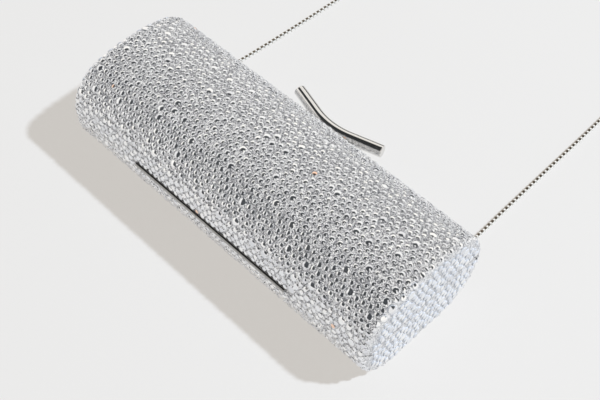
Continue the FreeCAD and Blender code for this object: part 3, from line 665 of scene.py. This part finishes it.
def satin_lining():
    """Grey satin: fine threads and a soft sheen, with a little cloud in its colour."""
    material, tree, shader, place = new_material(
        "satin_lining", Roughness=0.42, Sheen_Weight=0.6, Sheen_Roughness=0.3, Anisotropic=0.5)
    threads = add(tree, "TexWave", bands_direction="X", Scale=900.0, Distortion=1.5, Detail=2.0)
    cloud = add(tree, "TexNoise", Scale=60.0, Detail=3.0)
    grey = add_ramp(tree, cloud, "Fac", SATIN_DARK, SATIN_LIGHT)
    wire(tree, (place, "Object", threads, "Vector"), (place, "Object", cloud, "Vector"),
         (grey, "Color", shader, "Base Color"))
    add_bump(tree, threads, "Fac", shader, SATIN_LIFT)
    return material


def tie_plastic():
    """A soft matt plastic with a little cloud in its colour."""
    material, tree, shader, place = new_material("tie_plastic", Roughness=0.5)
    cloud = add(tree, "TexNoise", Scale=900.0, Detail=3.0)
    pale = add_ramp(tree, cloud, "Fac", TIE_DARK, TIE_LIGHT)
    wire(tree, (place, "Object", cloud, "Vector"), (pale, "Color", shader, "Base Color"))
    add_bump(tree, cloud, "Fac", shader, TIE_LIFT)
    return material


def satin_hinge_and_shade():
    """Pale satin plating on the hinge, with painted black shade above a level and out to a depth, where the barrel
    turns into its slot.
    """
    material, tree, shader, place = new_material("satin_hinge_and_shade", Roughness=0.5)
    parts = add(tree, "SeparateXYZ")
    level = add_range(tree, parts, "Z", 0.0, 1.0, HINGE_SHADE_FROM, HINGE_SHADE_FROM + HINGE_FADE)
    depth = add_range(tree, parts, "Y", 0.0, 1.0, HINGE_SHADE_TO + HINGE_FADE, HINGE_SHADE_TO)
    painted_shade = add(tree, "Math", operation="MULTIPLY")
    plating_and_shade = add_ramp(tree, painted_shade, "Value", HINGE_PALE, HINGE_PAINTED_SHADE)
    mirror = add_range(tree, painted_shade, "Value", HINGE_MIRROR, 0.0)
    wire(tree, (place, "Object", parts, "Vector"), (level, "Result", painted_shade, 0), (depth, "Result", painted_shade, 1),
         (plating_and_shade, "Color", shader, "Base Color"), (mirror, "Result", shader, "Metallic"))
    return material


def lit_paper():
    """The floor: pale matt paper lit through from below, which takes the depth out of its shadows in view.
    It throws back plain daylight on the object."""
    material, tree, shader, _ = new_material("floor_paper", Base_Color=(*FLOOR_COLOUR, 1.0), **MATT)
    glow = add(tree, "Emission", Color=(*GLOW_COLOUR, 1.0))
    ray = add(tree, "LightPath")
    seen = add(tree, "Math", operation="MAXIMUM")
    through = add(tree, "Math", operation="MAXIMUM")
    share = add(tree, "Math", operation="MULTIPLY")
    share.inputs[1].default_value = FLOOR_GLOW
    mixed = add(tree, "MixShader")
    wire(tree, (ray, "Is Camera Ray", seen, 0), (ray, "Is Glossy Ray", seen, 1), (seen, "Value", through, 0),
         (ray, "Is Transmission Ray", through, 1), (through, "Value", share, 0),
         (share, "Value", mixed, "Fac"), (shader, "BSDF", mixed, 1), (glow, "Emission", mixed, 2),
         (mixed, "Shader", tree.nodes["Material Output"], "Surface"))
    return material


CRYSTAL = foil_backed_crystal()
BED = silver_bed()
NICKEL = polished_metal("polished_nickel", *POLISHED_NICKEL)
STEEL = polished_metal("bright_steel", *BRIGHT_STEEL)
SPRING = polished_metal("blued_spring", *BLUED_SPRING)
SHELL = polished_metal("plain_shell", *PLAIN_SHELL)
CHAIN = chain_silver()
SATIN = satin_lining()
HINGE_PLATING_AND_SHADE = satin_hinge_and_shade()
TIE = tie_plastic()


# Chain


def chain_fall(side):
    """Where the chain leaves its end cap, and a point further down in line with the cap."""
    way = np.array([0.0, math.cos(CAP_HANG), -math.sin(CAP_HANG)])
    lug_hole = np.array([side * LUG_PLACE / MM, HALF_HEIGHT / MM + LUG_HOLE_OUT,
                         SEAM_Z / MM - LUG_HOLE_BELOW])
    start = lug_hole + way * CAP_REACH
    return start, start + way * CHAIN_DROP


def coil_line():
    """Control points of the coil: a spiral in below, half a turn of climb and a spiral out above."""
    climb_end = COIL_TURNS_IN + COIL_TURNS_CLIMB
    total = climb_end + COIL_TURNS_OUT
    turns = np.linspace(0, total, round(total * COIL_POINTS_PER_TURN) + 1)
    share = np.clip((turns - COIL_TURNS_IN) / COIL_TURNS_CLIMB, 0, 1)
    dip = COIL_PITCH * COIL_TURNS_CLIMB / math.pi * np.sin(math.pi * share)
    inner = COIL_OUTER - COIL_PITCH * COIL_TURNS_IN
    outwards = np.maximum(COIL_TURNS_IN - turns, 0) + np.maximum(turns - climb_end, 0)
    radius = inner - dip + COIL_PITCH * outwards
    height = COIL_LOW + COIL_PITCH * (1 - np.cos(math.pi * share)) / 2
    angle = math.pi - 2 * math.pi * turns
    x = COIL_CENTRE[0] + radius * np.cos(angle)
    y = COIL_CENTRE[1] + radius * np.sin(angle)
    return np.column_stack([x, y, height])


def chain_line():
    """Points a link apart on one smooth curve through the whole route, and the curve's length."""
    route = np.vstack([chain_fall(-1), LEFT_ROUTE, coil_line(), RIGHT_ROUTE, chain_fall(1)[::-1]]) * MM
    curve = bpy.data.curves.new("chain_route", "CURVE")
    curve.dimensions = "3D"
    curve.resolution_u = ROUTE_STEPS
    spline = curve.splines.new("NURBS")
    spline.points.add(len(route) - 1)
    spline.points.foreach_set("co", np.column_stack([route, np.ones(len(route))]).ravel())
    spline.order_u = 3
    spline.use_endpoint_u = True
    guide = bpy.data.objects.new("chain_route", curve)
    bpy.context.collection.objects.link(guide)
    bpy.context.view_layer.update()
    line = bpy.data.meshes.new_from_object(guide)
    points = np.empty(len(line.vertices) * 3)
    line.vertices.foreach_get("co", points)
    points = points.reshape(-1, 3)
    bpy.data.objects.remove(guide)
    bpy.data.meshes.remove(line)
    walked = np.concatenate([[0], np.cumsum(np.linalg.norm(np.diff(points, axis=0), axis=1))])
    count = int(walked[-1] / LINK_PITCH)
    even = (np.arange(count) + 0.5) * walked[-1] / count
    places = np.column_stack([np.interp(even, walked, points[:, axis]) for axis in range(3)])
    return places, walked[-1]


def box_link():
    """One link: a rounded rectangle in the plane of its length and width, carried round as a flat band."""
    half_length = LINK_LENGTH / 2
    half_width = LINK_WIDTH / 2
    half_band = LINK_BAND / 2
    cut = LINK_CORNER
    along = np.array([half_length, half_length, half_length - cut, cut - half_length,
                      -half_length, -half_length, cut - half_length, half_length - cut])
    across = np.array([cut - half_width, half_width - cut, half_width, half_width,
                       half_width - cut, cut - half_width, -half_width, -half_width])
    inner_along = np.clip(along, LINK_WIRE - half_length, half_length - LINK_WIRE)
    inner_across = np.clip(across, LINK_WIRE - half_width, half_width - LINK_WIRE)
    rings = [(along, across, half_band), (along, across, -half_band),
             (inner_along, inner_across, -half_band), (inner_along, inner_across, half_band)]
    points = np.stack([np.column_stack([a, b, np.full(len(a), c)]) for a, b, c in rings], axis=1)
    quads = grid_quads(len(along), len(rings), around=True, closed=True)
    return points.reshape(-1, 3), quads[:, ::-1]


def make_chain():
    """Links along the chain's line, every second one turned a quarter about it. Upright links get painted light
    at the middle of their length and painted shade at their ends. Flat ones get painted light along the bar
    that faces +X and painted shade on the rest."""
    places, length = chain_line()
    way = unit(np.gradient(places, axis=0))
    side = unit(np.cross(way, [0.0, 0.0, 1.0]))
    lift = np.cross(side, way)
    odd = (np.arange(len(places)) % 2 == 1)[:, None]
    width = np.where(odd, lift, side)
    axis = np.where(odd, -side, lift)
    link, quads = box_link()
    turned = (link[None, :, 0, None] * way[:, None] + link[None, :, 1, None] * width[:, None]
              + link[None, :, 2, None] * axis[:, None])
    points = (places[:, None] + turned).reshape(-1, 3)
    faces = (quads[None] + len(link) * np.arange(len(places))[:, None, None]).reshape(-1, 4)
    chain = put_quads("chain", points, faces, smooth=False)
    by_length = link[None, :, 0] / (LINK_LENGTH / 2)
    by_side = np.where(link[None, :, 1] * side[:, :1] > 0, 0.0, 1.0)
    add_values(chain, "from_painted_light", "POINT", np.where(odd, by_length, by_side))
    dress(chain, CHAIN, "back_half", "chain", "chain_left_run", "chain_coil", "chain_right_run")


# Stones


def spread_stones(places, radii, held, keep_in):
    """Pushes stones apart until they clear each other: in each round, both stones of a pair that overlaps
    move by half the overlap."""
    count = len(places)
    apart = np.linalg.norm(places[:, None] - places[None], axis=-1)
    first, second = np.nonzero(np.triu(apart < SPREAD_REACH, 1))
    room = radii[first] + radii[second] + STONE_GAP
    free = (~held)[:, None]
    for _ in range(SPREAD_ROUNDS):
        between = places[second] - places[first]
        distance = np.maximum(np.linalg.norm(between, axis=1), LEAST_APART)
        push = between * (np.maximum(room - distance, 0) / distance / 2)[:, None]
        move = np.column_stack([np.bincount(second, part, count) - np.bincount(first, part, count)
                                for part in push.T])
        places = keep_in(places + move * free, radii)
    return places


def hex_layout(width_from, width_to, up_from, up_to):
    """A jittered honeycomb of places over a rectangle, in rows along its width."""
    rise = STONE_PITCH * math.sqrt(3) / 2
    rows = np.linspace(up_from, up_to, len(np.arange(up_from, up_to, rise)))
    across, up = np.meshgrid(np.arange(width_from, width_to, STONE_PITCH), rows)
    across = across + (np.arange(len(rows)) % 2)[:, None] * STONE_PITCH / 2
    places = np.column_stack([across.ravel(), up.ravel()])
    return places + random.normal(0, STONE_JITTER, places.shape)


def stone_sizes(count):
    """Radii: mostly small, with some larger ones scattered among them."""
    sizes = random.choice(STONE_RADII, count, p=STONE_SHARES)
    return sizes * random.normal(1.0, SIZE_SPREAD, count).clip(*SIZE_LIMITS)


def long_side_stones(walk_from, walk_to, cut_from, cut_to, discs):
    """Places on the rolled-out long side of a half. Cuts are what the hinge slot takes at each border, and
    discs stay where they are to keep fittings clear."""
    end = EDGE_WALK - SIDE_MARGIN
    places = hex_layout(-end, end, walk_from + STONE_RADII[0], walk_to - STONE_RADII[0])
    radii = stone_sizes(len(places))
    disc_places = np.array(discs)[:, :2]
    disc_radii = np.array(discs)[:, 2]
    every = np.vstack([places, disc_places])
    held = np.arange(len(every)) >= len(places)

    def keep_in(points, sizes):
        along = np.clip(points[:, 0], -end, end)
        by_slot = np.abs(along) < SLOT_HALF + sizes
        low = walk_from + sizes + EDGE_GAP + np.where(by_slot, cut_from, 0)
        high = walk_to - sizes - EDGE_GAP - np.where(by_slot, cut_to, 0)
        kept = np.column_stack([along, np.clip(points[:, 1], low, high)])
        return np.where(held[:, None], points, kept)

    every = spread_stones(every, np.concatenate([radii, disc_radii]), held, keep_in)
    places = every[:len(radii)]
    apart = np.linalg.norm(places[:, None] - disc_places[None], axis=-1)
    clear = (apart > radii[:, None] * DISC_TOUCH + disc_radii[None]).all(axis=1)
    place, way = case_skin(places[clear, 0], places[clear, 1], STONE_FOOT)
    return place, way, radii[clear]


def end_stones(side, walk_from, walk_to, up):
    """Places on the flat end of a half, above or below the seam and inside its outline by a border."""
    outline, outward = case_outline(np.linspace(walk_from, walk_to, OUTLINE_POINTS))
    low = outline.min(axis=0) + END_BORDER
    high = outline.max(axis=0) - END_BORDER
    if up:
        low[1] -= END_BORDER
    else:
        high[1] += END_BORDER
    places = hex_layout(low[0], high[0], low[1], high[1])
    seam = SEAM_Z + (SEAM_GAP if up else -SEAM_GAP)

    def nearest(points):
        number = np.linalg.norm(points[:, None] - outline[None], axis=-1).argmin(axis=1)
        return np.einsum("ij,ij->i", outline[number] - points, outward[number]), outward[number]

    def keep_in(points, sizes):
        inset, normal = nearest(points)
        points = points - np.maximum(END_BORDER - inset, 0)[:, None] * normal
        limit = seam + (sizes if up else -sizes)
        points[:, 1] = np.maximum(points[:, 1], limit) if up else np.minimum(points[:, 1], limit)
        return points

    past_seam = places[:, 1] > seam if up else places[:, 1] < seam
    places = places[(nearest(places)[0] > END_BORDER - END_SLACK) & past_seam]
    radii = stone_sizes(len(places))
    places = spread_stones(places, radii, np.zeros(len(places), bool), keep_in)
    x = np.full(len(places), side * (HALF_LENGTH - STONE_FOOT))
    way = np.zeros((len(places), 3))
    way[:, 0] = side
    return np.column_stack([x, places]), way, radii


def half_stones(walk_from, walk_to, cut_from, cut_to, discs, up):
    """Places, ways and radii of all stones of a half: its long side and both its ends."""
    groups = [long_side_stones(walk_from, walk_to, cut_from, cut_to, discs)]
    groups += [end_stones(side, walk_from, walk_to, up) for side in (-1, 1)]
    return [np.concatenate(values) for values in zip(*groups)]


def cut_stone():
    """One stone about +Z, for a radius of one: the radius, angle and level of its points, and its faces.
    Levels: 0 the foot, 1 the girdle, 2 the table's rim, 3 the middle of the slightly domed table."""
    sides = STONE_SIDES
    turn = 2 * math.pi * np.arange(sides) / sides
    radius = np.concatenate([[0.0], np.ones(2 * sides), np.full(sides, FOOT_SHARE)])
    angle = np.concatenate([[0.0], turn, turn, turn])
    level = np.concatenate([[3], np.full(sides, 2), np.ones(sides, int), np.zeros(sides, int)])
    number = np.arange(sides)
    after = (number + 1) % sides
    table = np.column_stack([np.zeros(sides, int), 1 + number, 1 + after]).tolist()
    rings = [1, 1 + sides, 1 + 2 * sides]
    sloped = [np.column_stack([upper + number, lower + number, lower + after, upper + after])
              for upper, lower in zip(rings, rings[1:])]
    foot = [(3 * sides - number).tolist()]
    return radius, angle, level, table + np.vstack(sloped).tolist() + foot


def make_stones(name, body, node, place, way, size):
    """All stones of a half in one mesh. Each stands on its own axis, the case's normal tilted a little, and
    its table is a share of its radius that falls from upright faces to level ones. Only the table is shaded
    smoothly, so every edge but those that meet at its middle is sharp."""
    count = len(place)
    way = unit(way + random.normal(0, STONE_TILT, way.shape))
    lean = np.where(np.abs(way[:, :1]) > STEEP_ALONG, [[0.0, 0.0, 1.0]], [[1.0, 0.0, 0.0]])
    first = unit(np.cross(lean, way))
    second = np.cross(way, first)
    radius, angle, level, faces = cut_stone()
    spin = angle[None] + random.uniform(0, 2 * math.pi, count)[:, None]
    on_end = np.interp(np.abs(way[:, 0]), END_FACING, [0.0, 1.0])
    table = np.interp(way[:, 2], TABLE_FACING, STONE_TABLES)
    table = table + on_end * (END_TABLE - table)
    reach = np.where(level == 2, table[:, None], radius[None]) * size[:, None]
    dome = size * table * math.tan(STONE_DOME)
    proud = STONE_PROUD * (1 - np.clip(-way[:, 2], 0, 1))
    crown = np.minimum(size * STONE_CROWN, STONE_FOOT + proud - STONE_GIRDLE - dome)
    rim = STONE_GIRDLE + crown
    heights = np.stack([np.zeros(count), np.full(count, STONE_GIRDLE), rim, rim + dome], axis=1)
    height = heights[:, level]
    points = (place[:, None] + (reach * np.cos(spin))[..., None] * first[:, None]
              + (reach * np.sin(spin))[..., None] * second[:, None] + height[..., None] * way[:, None])
    corners = np.concatenate(faces)
    sizes = np.array([len(face) for face in faces])
    starts = np.concatenate([[0], np.cumsum(sizes)[:-1]])
    stone = np.arange(count)[:, None]
    loops = (corners[None] + len(angle) * stone).ravel()
    begins = (starts[None] + len(corners) * stone).ravel()
    piece = put_mesh(name, points.reshape(-1, 3), loops, begins, smooth=True)
    mesh = piece.data
    ends = np.empty(len(mesh.edges) * 2, dtype=np.int32)
    mesh.edges.foreach_get("vertices", ends)
    spoke = (ends.reshape(-1, 2) % len(angle) == 0).any(axis=1)
    mesh.edges.foreach_set("use_edge_sharp", ~spoke)
    ring = np.arange(len(faces)) // STONE_SIDES
    milk = np.where(ring == 1, on_end[:, None], 0.0)
    add_values(piece, "stone_shade", "POINT", np.repeat(random.uniform(0, 1, count), len(angle)))
    add_values(piece, "crown", "FACE", np.minimum(ring, 1) - milk)
    add_values(piece, "milk", "FACE", milk)
    dress(piece, CRYSTAL, body, "crystal", node)


# Bed and lining


def bed_lines():
    """Distances along X of the bed's grid lines: even on the flat, the cut-outs' sides and the end arcs."""
    even = np.linspace(-FLAT_HALF, FLAT_HALF, BED_COLUMNS)
    cuts = np.array([SLOT_HALF, NOTCH_HALF, LUG_PLACE - LUG_SLOT_HALF, LUG_PLACE + LUG_SLOT_HALF])
    arc = FLAT_HALF + END_EDGE * np.linspace(0, math.pi / 2, BED_EDGE_ROWS)
    return np.unique(np.round(np.concatenate([even, cuts, -cuts, arc, -arc]), GRID_DIGITS))


def make_bed(name, body, walk_from, walk_to, cut_outs, seam):
    """The bed of one half: the case drawn in, without the cut-outs, as a grid over its long side and end
    edges, and its flat ends."""
    along = bed_lines()
    cut_walks = [border for cut in cut_outs for border in cut[2:]]
    walk = np.concatenate([np.linspace(walk_from, walk_to, BED_ROWS), cut_walks])
    walk = np.unique(np.round(walk, GRID_DIGITS))
    walk = walk[(walk >= walk_from) & (walk <= walk_to)]
    across, up = np.meshgrid(along, walk)
    points, _ = case_skin(across.ravel(), up.ravel(), BED_INSET)
    quads = grid_quads(len(walk), len(along))
    middle_along = across.ravel()[quads].mean(axis=1)
    middle_walk = up.ravel()[quads].mean(axis=1)
    keep = np.ones(len(quads), bool)
    for along_from, along_to, cut_from, cut_to in cut_outs:
        inside = (middle_along > along_from) & (middle_along < along_to)
        keep &= ~(inside & (middle_walk > cut_from) & (middle_walk < cut_to))
    piece = put_half(name, walk, points, quads[keep], BED_INSET, seam, BED_END_ROWS, BED_THICKNESS)
    dress(piece, BED, body, "crystal")


def make_lining(name, body, node, walk_from, walk_to, seam):
    """Satin glued into a half: the case drawn in, with shallow folds across it that fade at the borders. The
    folds are a sine along X that drifts by slower waves and swells and sinks."""
    arc = FLAT_HALF + END_EDGE * np.linspace(0, math.pi / 2, LINING_EDGE_ROWS)[1:]
    along = np.concatenate([-arc[::-1], np.linspace(-FLAT_HALF, FLAT_HALF, LINING_COLUMNS), arc])
    walk = np.linspace(walk_from, walk_to, LINING_ROWS)
    across, up = np.meshgrid(along, walk)
    share = (up - walk_from) / (walk_to - walk_from)
    fade = np.sin(math.pi * share) ** 0.5 * np.clip((FLAT_HALF - np.abs(across)) / FOLD_FADE, 0, 1)
    drift = sum(size * np.sin(across * by_x + share * by_walk) for size, by_x, by_walk in FOLD_DRIFT)
    steady, swing, by_x = FOLD_SWELL
    folds = np.sin(across * FOLD_TURNS + drift) * (steady + swing * np.sin(across * by_x))
    inset = LINING_INSET + FOLD_HEIGHT * fade * folds
    points, _ = case_skin(across.ravel(), up.ravel(), inset.ravel())
    piece = put_half(name, walk, points, grid_quads(len(walk), len(along)), LINING_INSET, seam,
                     LINING_END_ROWS, LINING_THICKNESS, inwards=True)
    dress(piece, SATIN, body, "lining", node)


def make_halves():
    """Stones, beds and linings of the front and the back."""
    front_end = FRONT_WALK
    whole = WHOLE_WALK
    gap = SEAM_GAP / 2
    notch = [(x, front_end - depth, NOTCH_DISC) for x in NOTCH_DISC_SIDES for depth in NOTCH_DISC_DEPTHS]
    lugs = [(side * LUG_PLACE, front_end + depth, LUG_DISC) for side in (-1, 1) for depth in LUG_DISC_DEPTHS]
    front_stones = half_stones(0.0, front_end, SLOT_ABOVE, 0.0, notch, True)
    back_stones = half_stones(front_end, whole, 0.0, SLOT_BELOW, lugs, False)
    make_stones("front_stones", "front_half", "front_crystals", *front_stones)
    make_stones("back_stones", "back_half", "back_crystals", *back_stones)
    front_cuts = [(-SLOT_HALF, SLOT_HALF, 0.0, SLOT_ABOVE),
                  (-NOTCH_HALF, NOTCH_HALF, front_end - NOTCH_TOP, whole)]
    back_cuts = [(-SLOT_HALF, SLOT_HALF, whole - SLOT_BELOW, whole)]
    for lug in (-LUG_PLACE, LUG_PLACE):
        back_cuts.append((lug - LUG_SLOT_HALF, lug + LUG_SLOT_HALF, 0.0, front_end + LUG_SLOT_DEPTH))
    make_bed("front_bed", "front_half", HINGE_RELIEF, front_end - gap, front_cuts, SEAM_Z + gap)
    make_bed("back_bed", "back_half", front_end + gap, whole - HINGE_RELIEF, back_cuts, SEAM_Z - gap)
    make_lining("front_satin", "front_half", "front_lining",
                FRAME_HEIGHT + LINING_EASE, front_end - FRAME_HEIGHT - LINING_EASE, SEAM_Z + FRAME_HEIGHT)
    make_lining("back_satin", "back_half", "back_lining",
                front_end + FRAME_HEIGHT, whole - FRAME_HEIGHT, SEAM_Z - FRAME_HEIGHT)


# Clasp


def make_clasp_bar():
    """A round bar bent at its middle: a circle carried along a leg, an arc and a leg, with rounded ends."""
    low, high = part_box("clasp_bar")
    middle = np.array([0.0, low.y + BAR_RADIUS, (low.z + high.z) / 2])
    bend = BAR_BEND_RADIUS * BAR_LEG_ANGLE
    bend_x = BAR_BEND_RADIUS * math.sin(BAR_LEG_ANGLE)
    half = bend + (BAR_HALF_SPAN - bend_x) / math.cos(BAR_LEG_ANGLE)
    rounding = np.linspace(0, math.pi / 2, BAR_END_RINGS)
    end_walk = half - BAR_END_ROUND + BAR_END_ROUND * np.sin(rounding)
    end_radius = BAR_RADIUS - BAR_END_ROUND + BAR_END_ROUND * np.cos(rounding)
    face_radius = BAR_FACE_RINGS * end_radius[-1]
    body_walk = np.linspace(0, half - BAR_END_ROUND, BAR_RINGS)[:-1]
    walk = np.concatenate([body_walk, end_walk, np.full(len(face_radius), half)])
    radius = np.concatenate([np.full(len(body_walk), BAR_RADIUS), end_radius, face_radius])
    walk = np.concatenate([-walk[:0:-1], walk])
    radius = np.concatenate([radius[:0:-1], radius])
    turned = np.clip(walk, -bend, bend) / BAR_BEND_RADIUS
    past = walk - np.clip(walk, -bend, bend)
    x = BAR_BEND_RADIUS * np.sin(turned) + past * np.cos(turned)
    y = BAR_BEND_RADIUS * (1 - np.cos(turned)) + past * np.sin(turned)
    line = middle + np.column_stack([x, y, np.zeros(len(walk))])
    outward = np.column_stack([-np.sin(turned), np.cos(turned), np.zeros(len(walk))])
    around = np.linspace(0, 2 * math.pi, BAR_SIDES, endpoint=False)[None, :, None]
    ring = np.cos(around) * outward[:, None] + np.sin(around) * np.array([0.0, 0.0, 1.0])
    points = (line[:, None] + radius[:, None, None] * ring).reshape(-1, 3)
    piece = put_quads("clasp_bar_polished", points, grid_quads(len(walk), BAR_SIDES, around=True))
    weld(piece)
    dress(piece, NICKEL, "clasp_lever", "nickel", "clasp_bar")


def make_spring():
    """The lever's return spring: a strip whose inner and outer faces are a function of the level, flat
    against the bracket above and a free leaf below."""
    low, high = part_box("lever_spring")
    level = np.linspace(low.z, high.z, SPRING_ROWS)
    leaf_outer = high.y - SPRING_STEP
    inner = np.interp(level, [SPRING_TURNS, high.z], [leaf_outer - SPRING_LEAF, low.y])
    outer = np.interp(level, [SPRING_LEAVES - SPRING_STEP, SPRING_LEAVES, high.z],
                      [leaf_outer, high.y, low.y + SPRING_PLATE])
    across = np.broadcast_to([low.x, high.x, high.x, low.x], (SPRING_ROWS, 4))
    depth = np.stack([inner, inner, outer, outer], axis=1)
    levels = np.broadcast_to(level[:, None], (SPRING_ROWS, 4))
    points = np.stack([across, depth, levels], axis=-1).reshape(-1, 3)
    top = 4 * (SPRING_ROWS - 1)
    caps = [[3, 2, 1, 0], [top, top + 1, top + 2, top + 3]]
    quads = np.vstack([grid_quads(SPRING_ROWS, 4, around=True), caps])
    spring = put_quads("return_spring", points, quads, smooth=False)
    spring.data.materials.append(SPRING)
    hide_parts("lever_spring")
    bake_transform(spring)


# Finish of the CAD nodes


def finish_nodes():
    """Each CAD node that stays in view gets the finish of its slot, and the hinge leaves get their own."""
    finishes = {"nickel": NICKEL, "steel": STEEL, "spring": SPRING, "shell": SHELL, "tie": TIE}
    for part in frame["record"]["subparts"]:
        material = finishes.get(part["material_slot"])
        if material is None:
            continue
        if part["node"].startswith("hinge_leaf"):
            material = HINGE_PLATING_AND_SHADE
        mesh = nodes[part["node"]].data
        mesh.materials.clear()
        mesh.materials.append(material)


# Stage: floor, light and camera


def make_stage():
    """A wide pale floor, and dark screens out of view that the stones and the bar reflect: a ceiling, which
    is a band of a dome whose rim hangs lowest on the near side, and a low wall far behind."""
    one_face = np.array([[0, 1, 2, 3]])
    corners = FLOOR_HALF * np.array([[-1.0, -1.0], [1.0, -1.0], [1.0, 1.0], [-1.0, 1.0]])
    floor = put_quads("floor", np.column_stack([corners, np.full(4, FLOOR_LEVEL)]), one_face, smooth=False)
    floor.data.materials.append(lit_paper())
    azimuth = np.linspace(CEILING_TURNS[0], CEILING_TURNS[-1], CEILING_COLUMNS)
    rim = np.interp(azimuth, CEILING_TURNS, CEILING_RIMS)
    rise = np.radians(rim + np.linspace(0.0, 1.0, CEILING_ROWS)[:, None] * (CEILING_TOP - rim))
    turn = np.radians(azimuth)
    dome = np.stack([np.cos(rise) * np.cos(turn), np.cos(rise) * np.sin(turn), np.sin(rise)], axis=-1)
    ceiling = put_quads("dark_ceiling", CEILING_RADIUS * dome.reshape(-1, 3),
                        grid_quads(CEILING_ROWS, CEILING_COLUMNS))
    left, right, far, top = WALL_SIDES
    corners = np.array([[left, far, 0.0], [right, far, 0.0], [right, far, top], [left, far, top]])
    wall = put_quads("dark_wall", corners, one_face, smooth=False)
    cloth = new_material("screen_cloth", Base_Color=(*SCREEN_COLOUR, 1.0), **MATT)[0]
    for screen in (ceiling, wall):
        screen.data.materials.append(cloth)
        screen.visible_camera = False
        screen.visible_diffuse = False
        screen.visible_shadow = False


def make_light():
    """An even pale sky, brighter in view and in reflections, and one small lamp from behind on the right that
    casts the shadow and isn't reflected."""
    world = bpy.data.worlds.new("studio")
    world.use_nodes = True
    tree = world.node_tree
    sky = tree.nodes["Background"]
    give(sky, Color=(*SKY_COLOUR, 1.0))
    ray = add(tree, "LightPath")
    bright = add(tree, "Math", operation="MAXIMUM")
    strength = add_range(tree, bright, "Value", SKY_LIGHT, SKY_REFLECTED)
    wire(tree, (ray, "Is Glossy Ray", bright, 0), (ray, "Is Camera Ray", bright, 1),
         (strength, "Result", sky, "Strength"))
    bpy.context.scene.world = world
    lamp = bpy.data.lights.new("key", "AREA")
    lamp.shape = "SQUARE"
    lamp.size = KEY_SIZE
    lamp.energy = KEY_POWER
    lamp.color = KEY_COLOUR
    key = bpy.data.objects.new("key", lamp)
    key.location = Vector(KEY_WAY) * KEY_DISTANCE
    key.rotation_euler = Vector(KEY_WAY).to_track_quat("Z", "Y").to_euler()
    key.visible_glossy = False
    bpy.context.collection.objects.link(key)


def make_camera():
    """The photograph's camera: turned about the object by its azimuth and elevation, with a trace of roll."""
    a, e, k = CAMERA_AZIMUTH, CAMERA_ELEVATION, CAMERA_ROLL
    back = np.array([math.sin(a) * math.cos(e), -math.cos(a) * math.cos(e), math.sin(e)])
    right = np.array([math.cos(a), math.sin(a), 0.0])
    up = np.cross(back, right)
    rolled_right = math.cos(k) * right + math.sin(k) * up
    rolled_up = -math.sin(k) * right + math.cos(k) * up
    turn = Matrix(np.column_stack([rolled_right, rolled_up, back]).tolist()).to_4x4()
    data = bpy.data.cameras.new("photograph")
    data.sensor_width = SENSOR_WIDTH
    data.lens = SENSOR_WIDTH * CAMERA_FOCUS / PHOTO_WIDTH
    data.clip_start = CAMERA_NEAR
    camera = bpy.data.objects.new("photograph", data)
    camera.matrix_world = Matrix.Translation(CAMERA_PLACE) @ turn
    bpy.context.collection.objects.link(camera)
    bpy.context.scene.camera = camera


# The whole

make_camera()
make_chain()
make_halves()
make_clasp_bar()
make_spring()
finish_nodes()
make_stage()
make_light()
bpy.context.scene.view_settings.view_transform = "Standard"
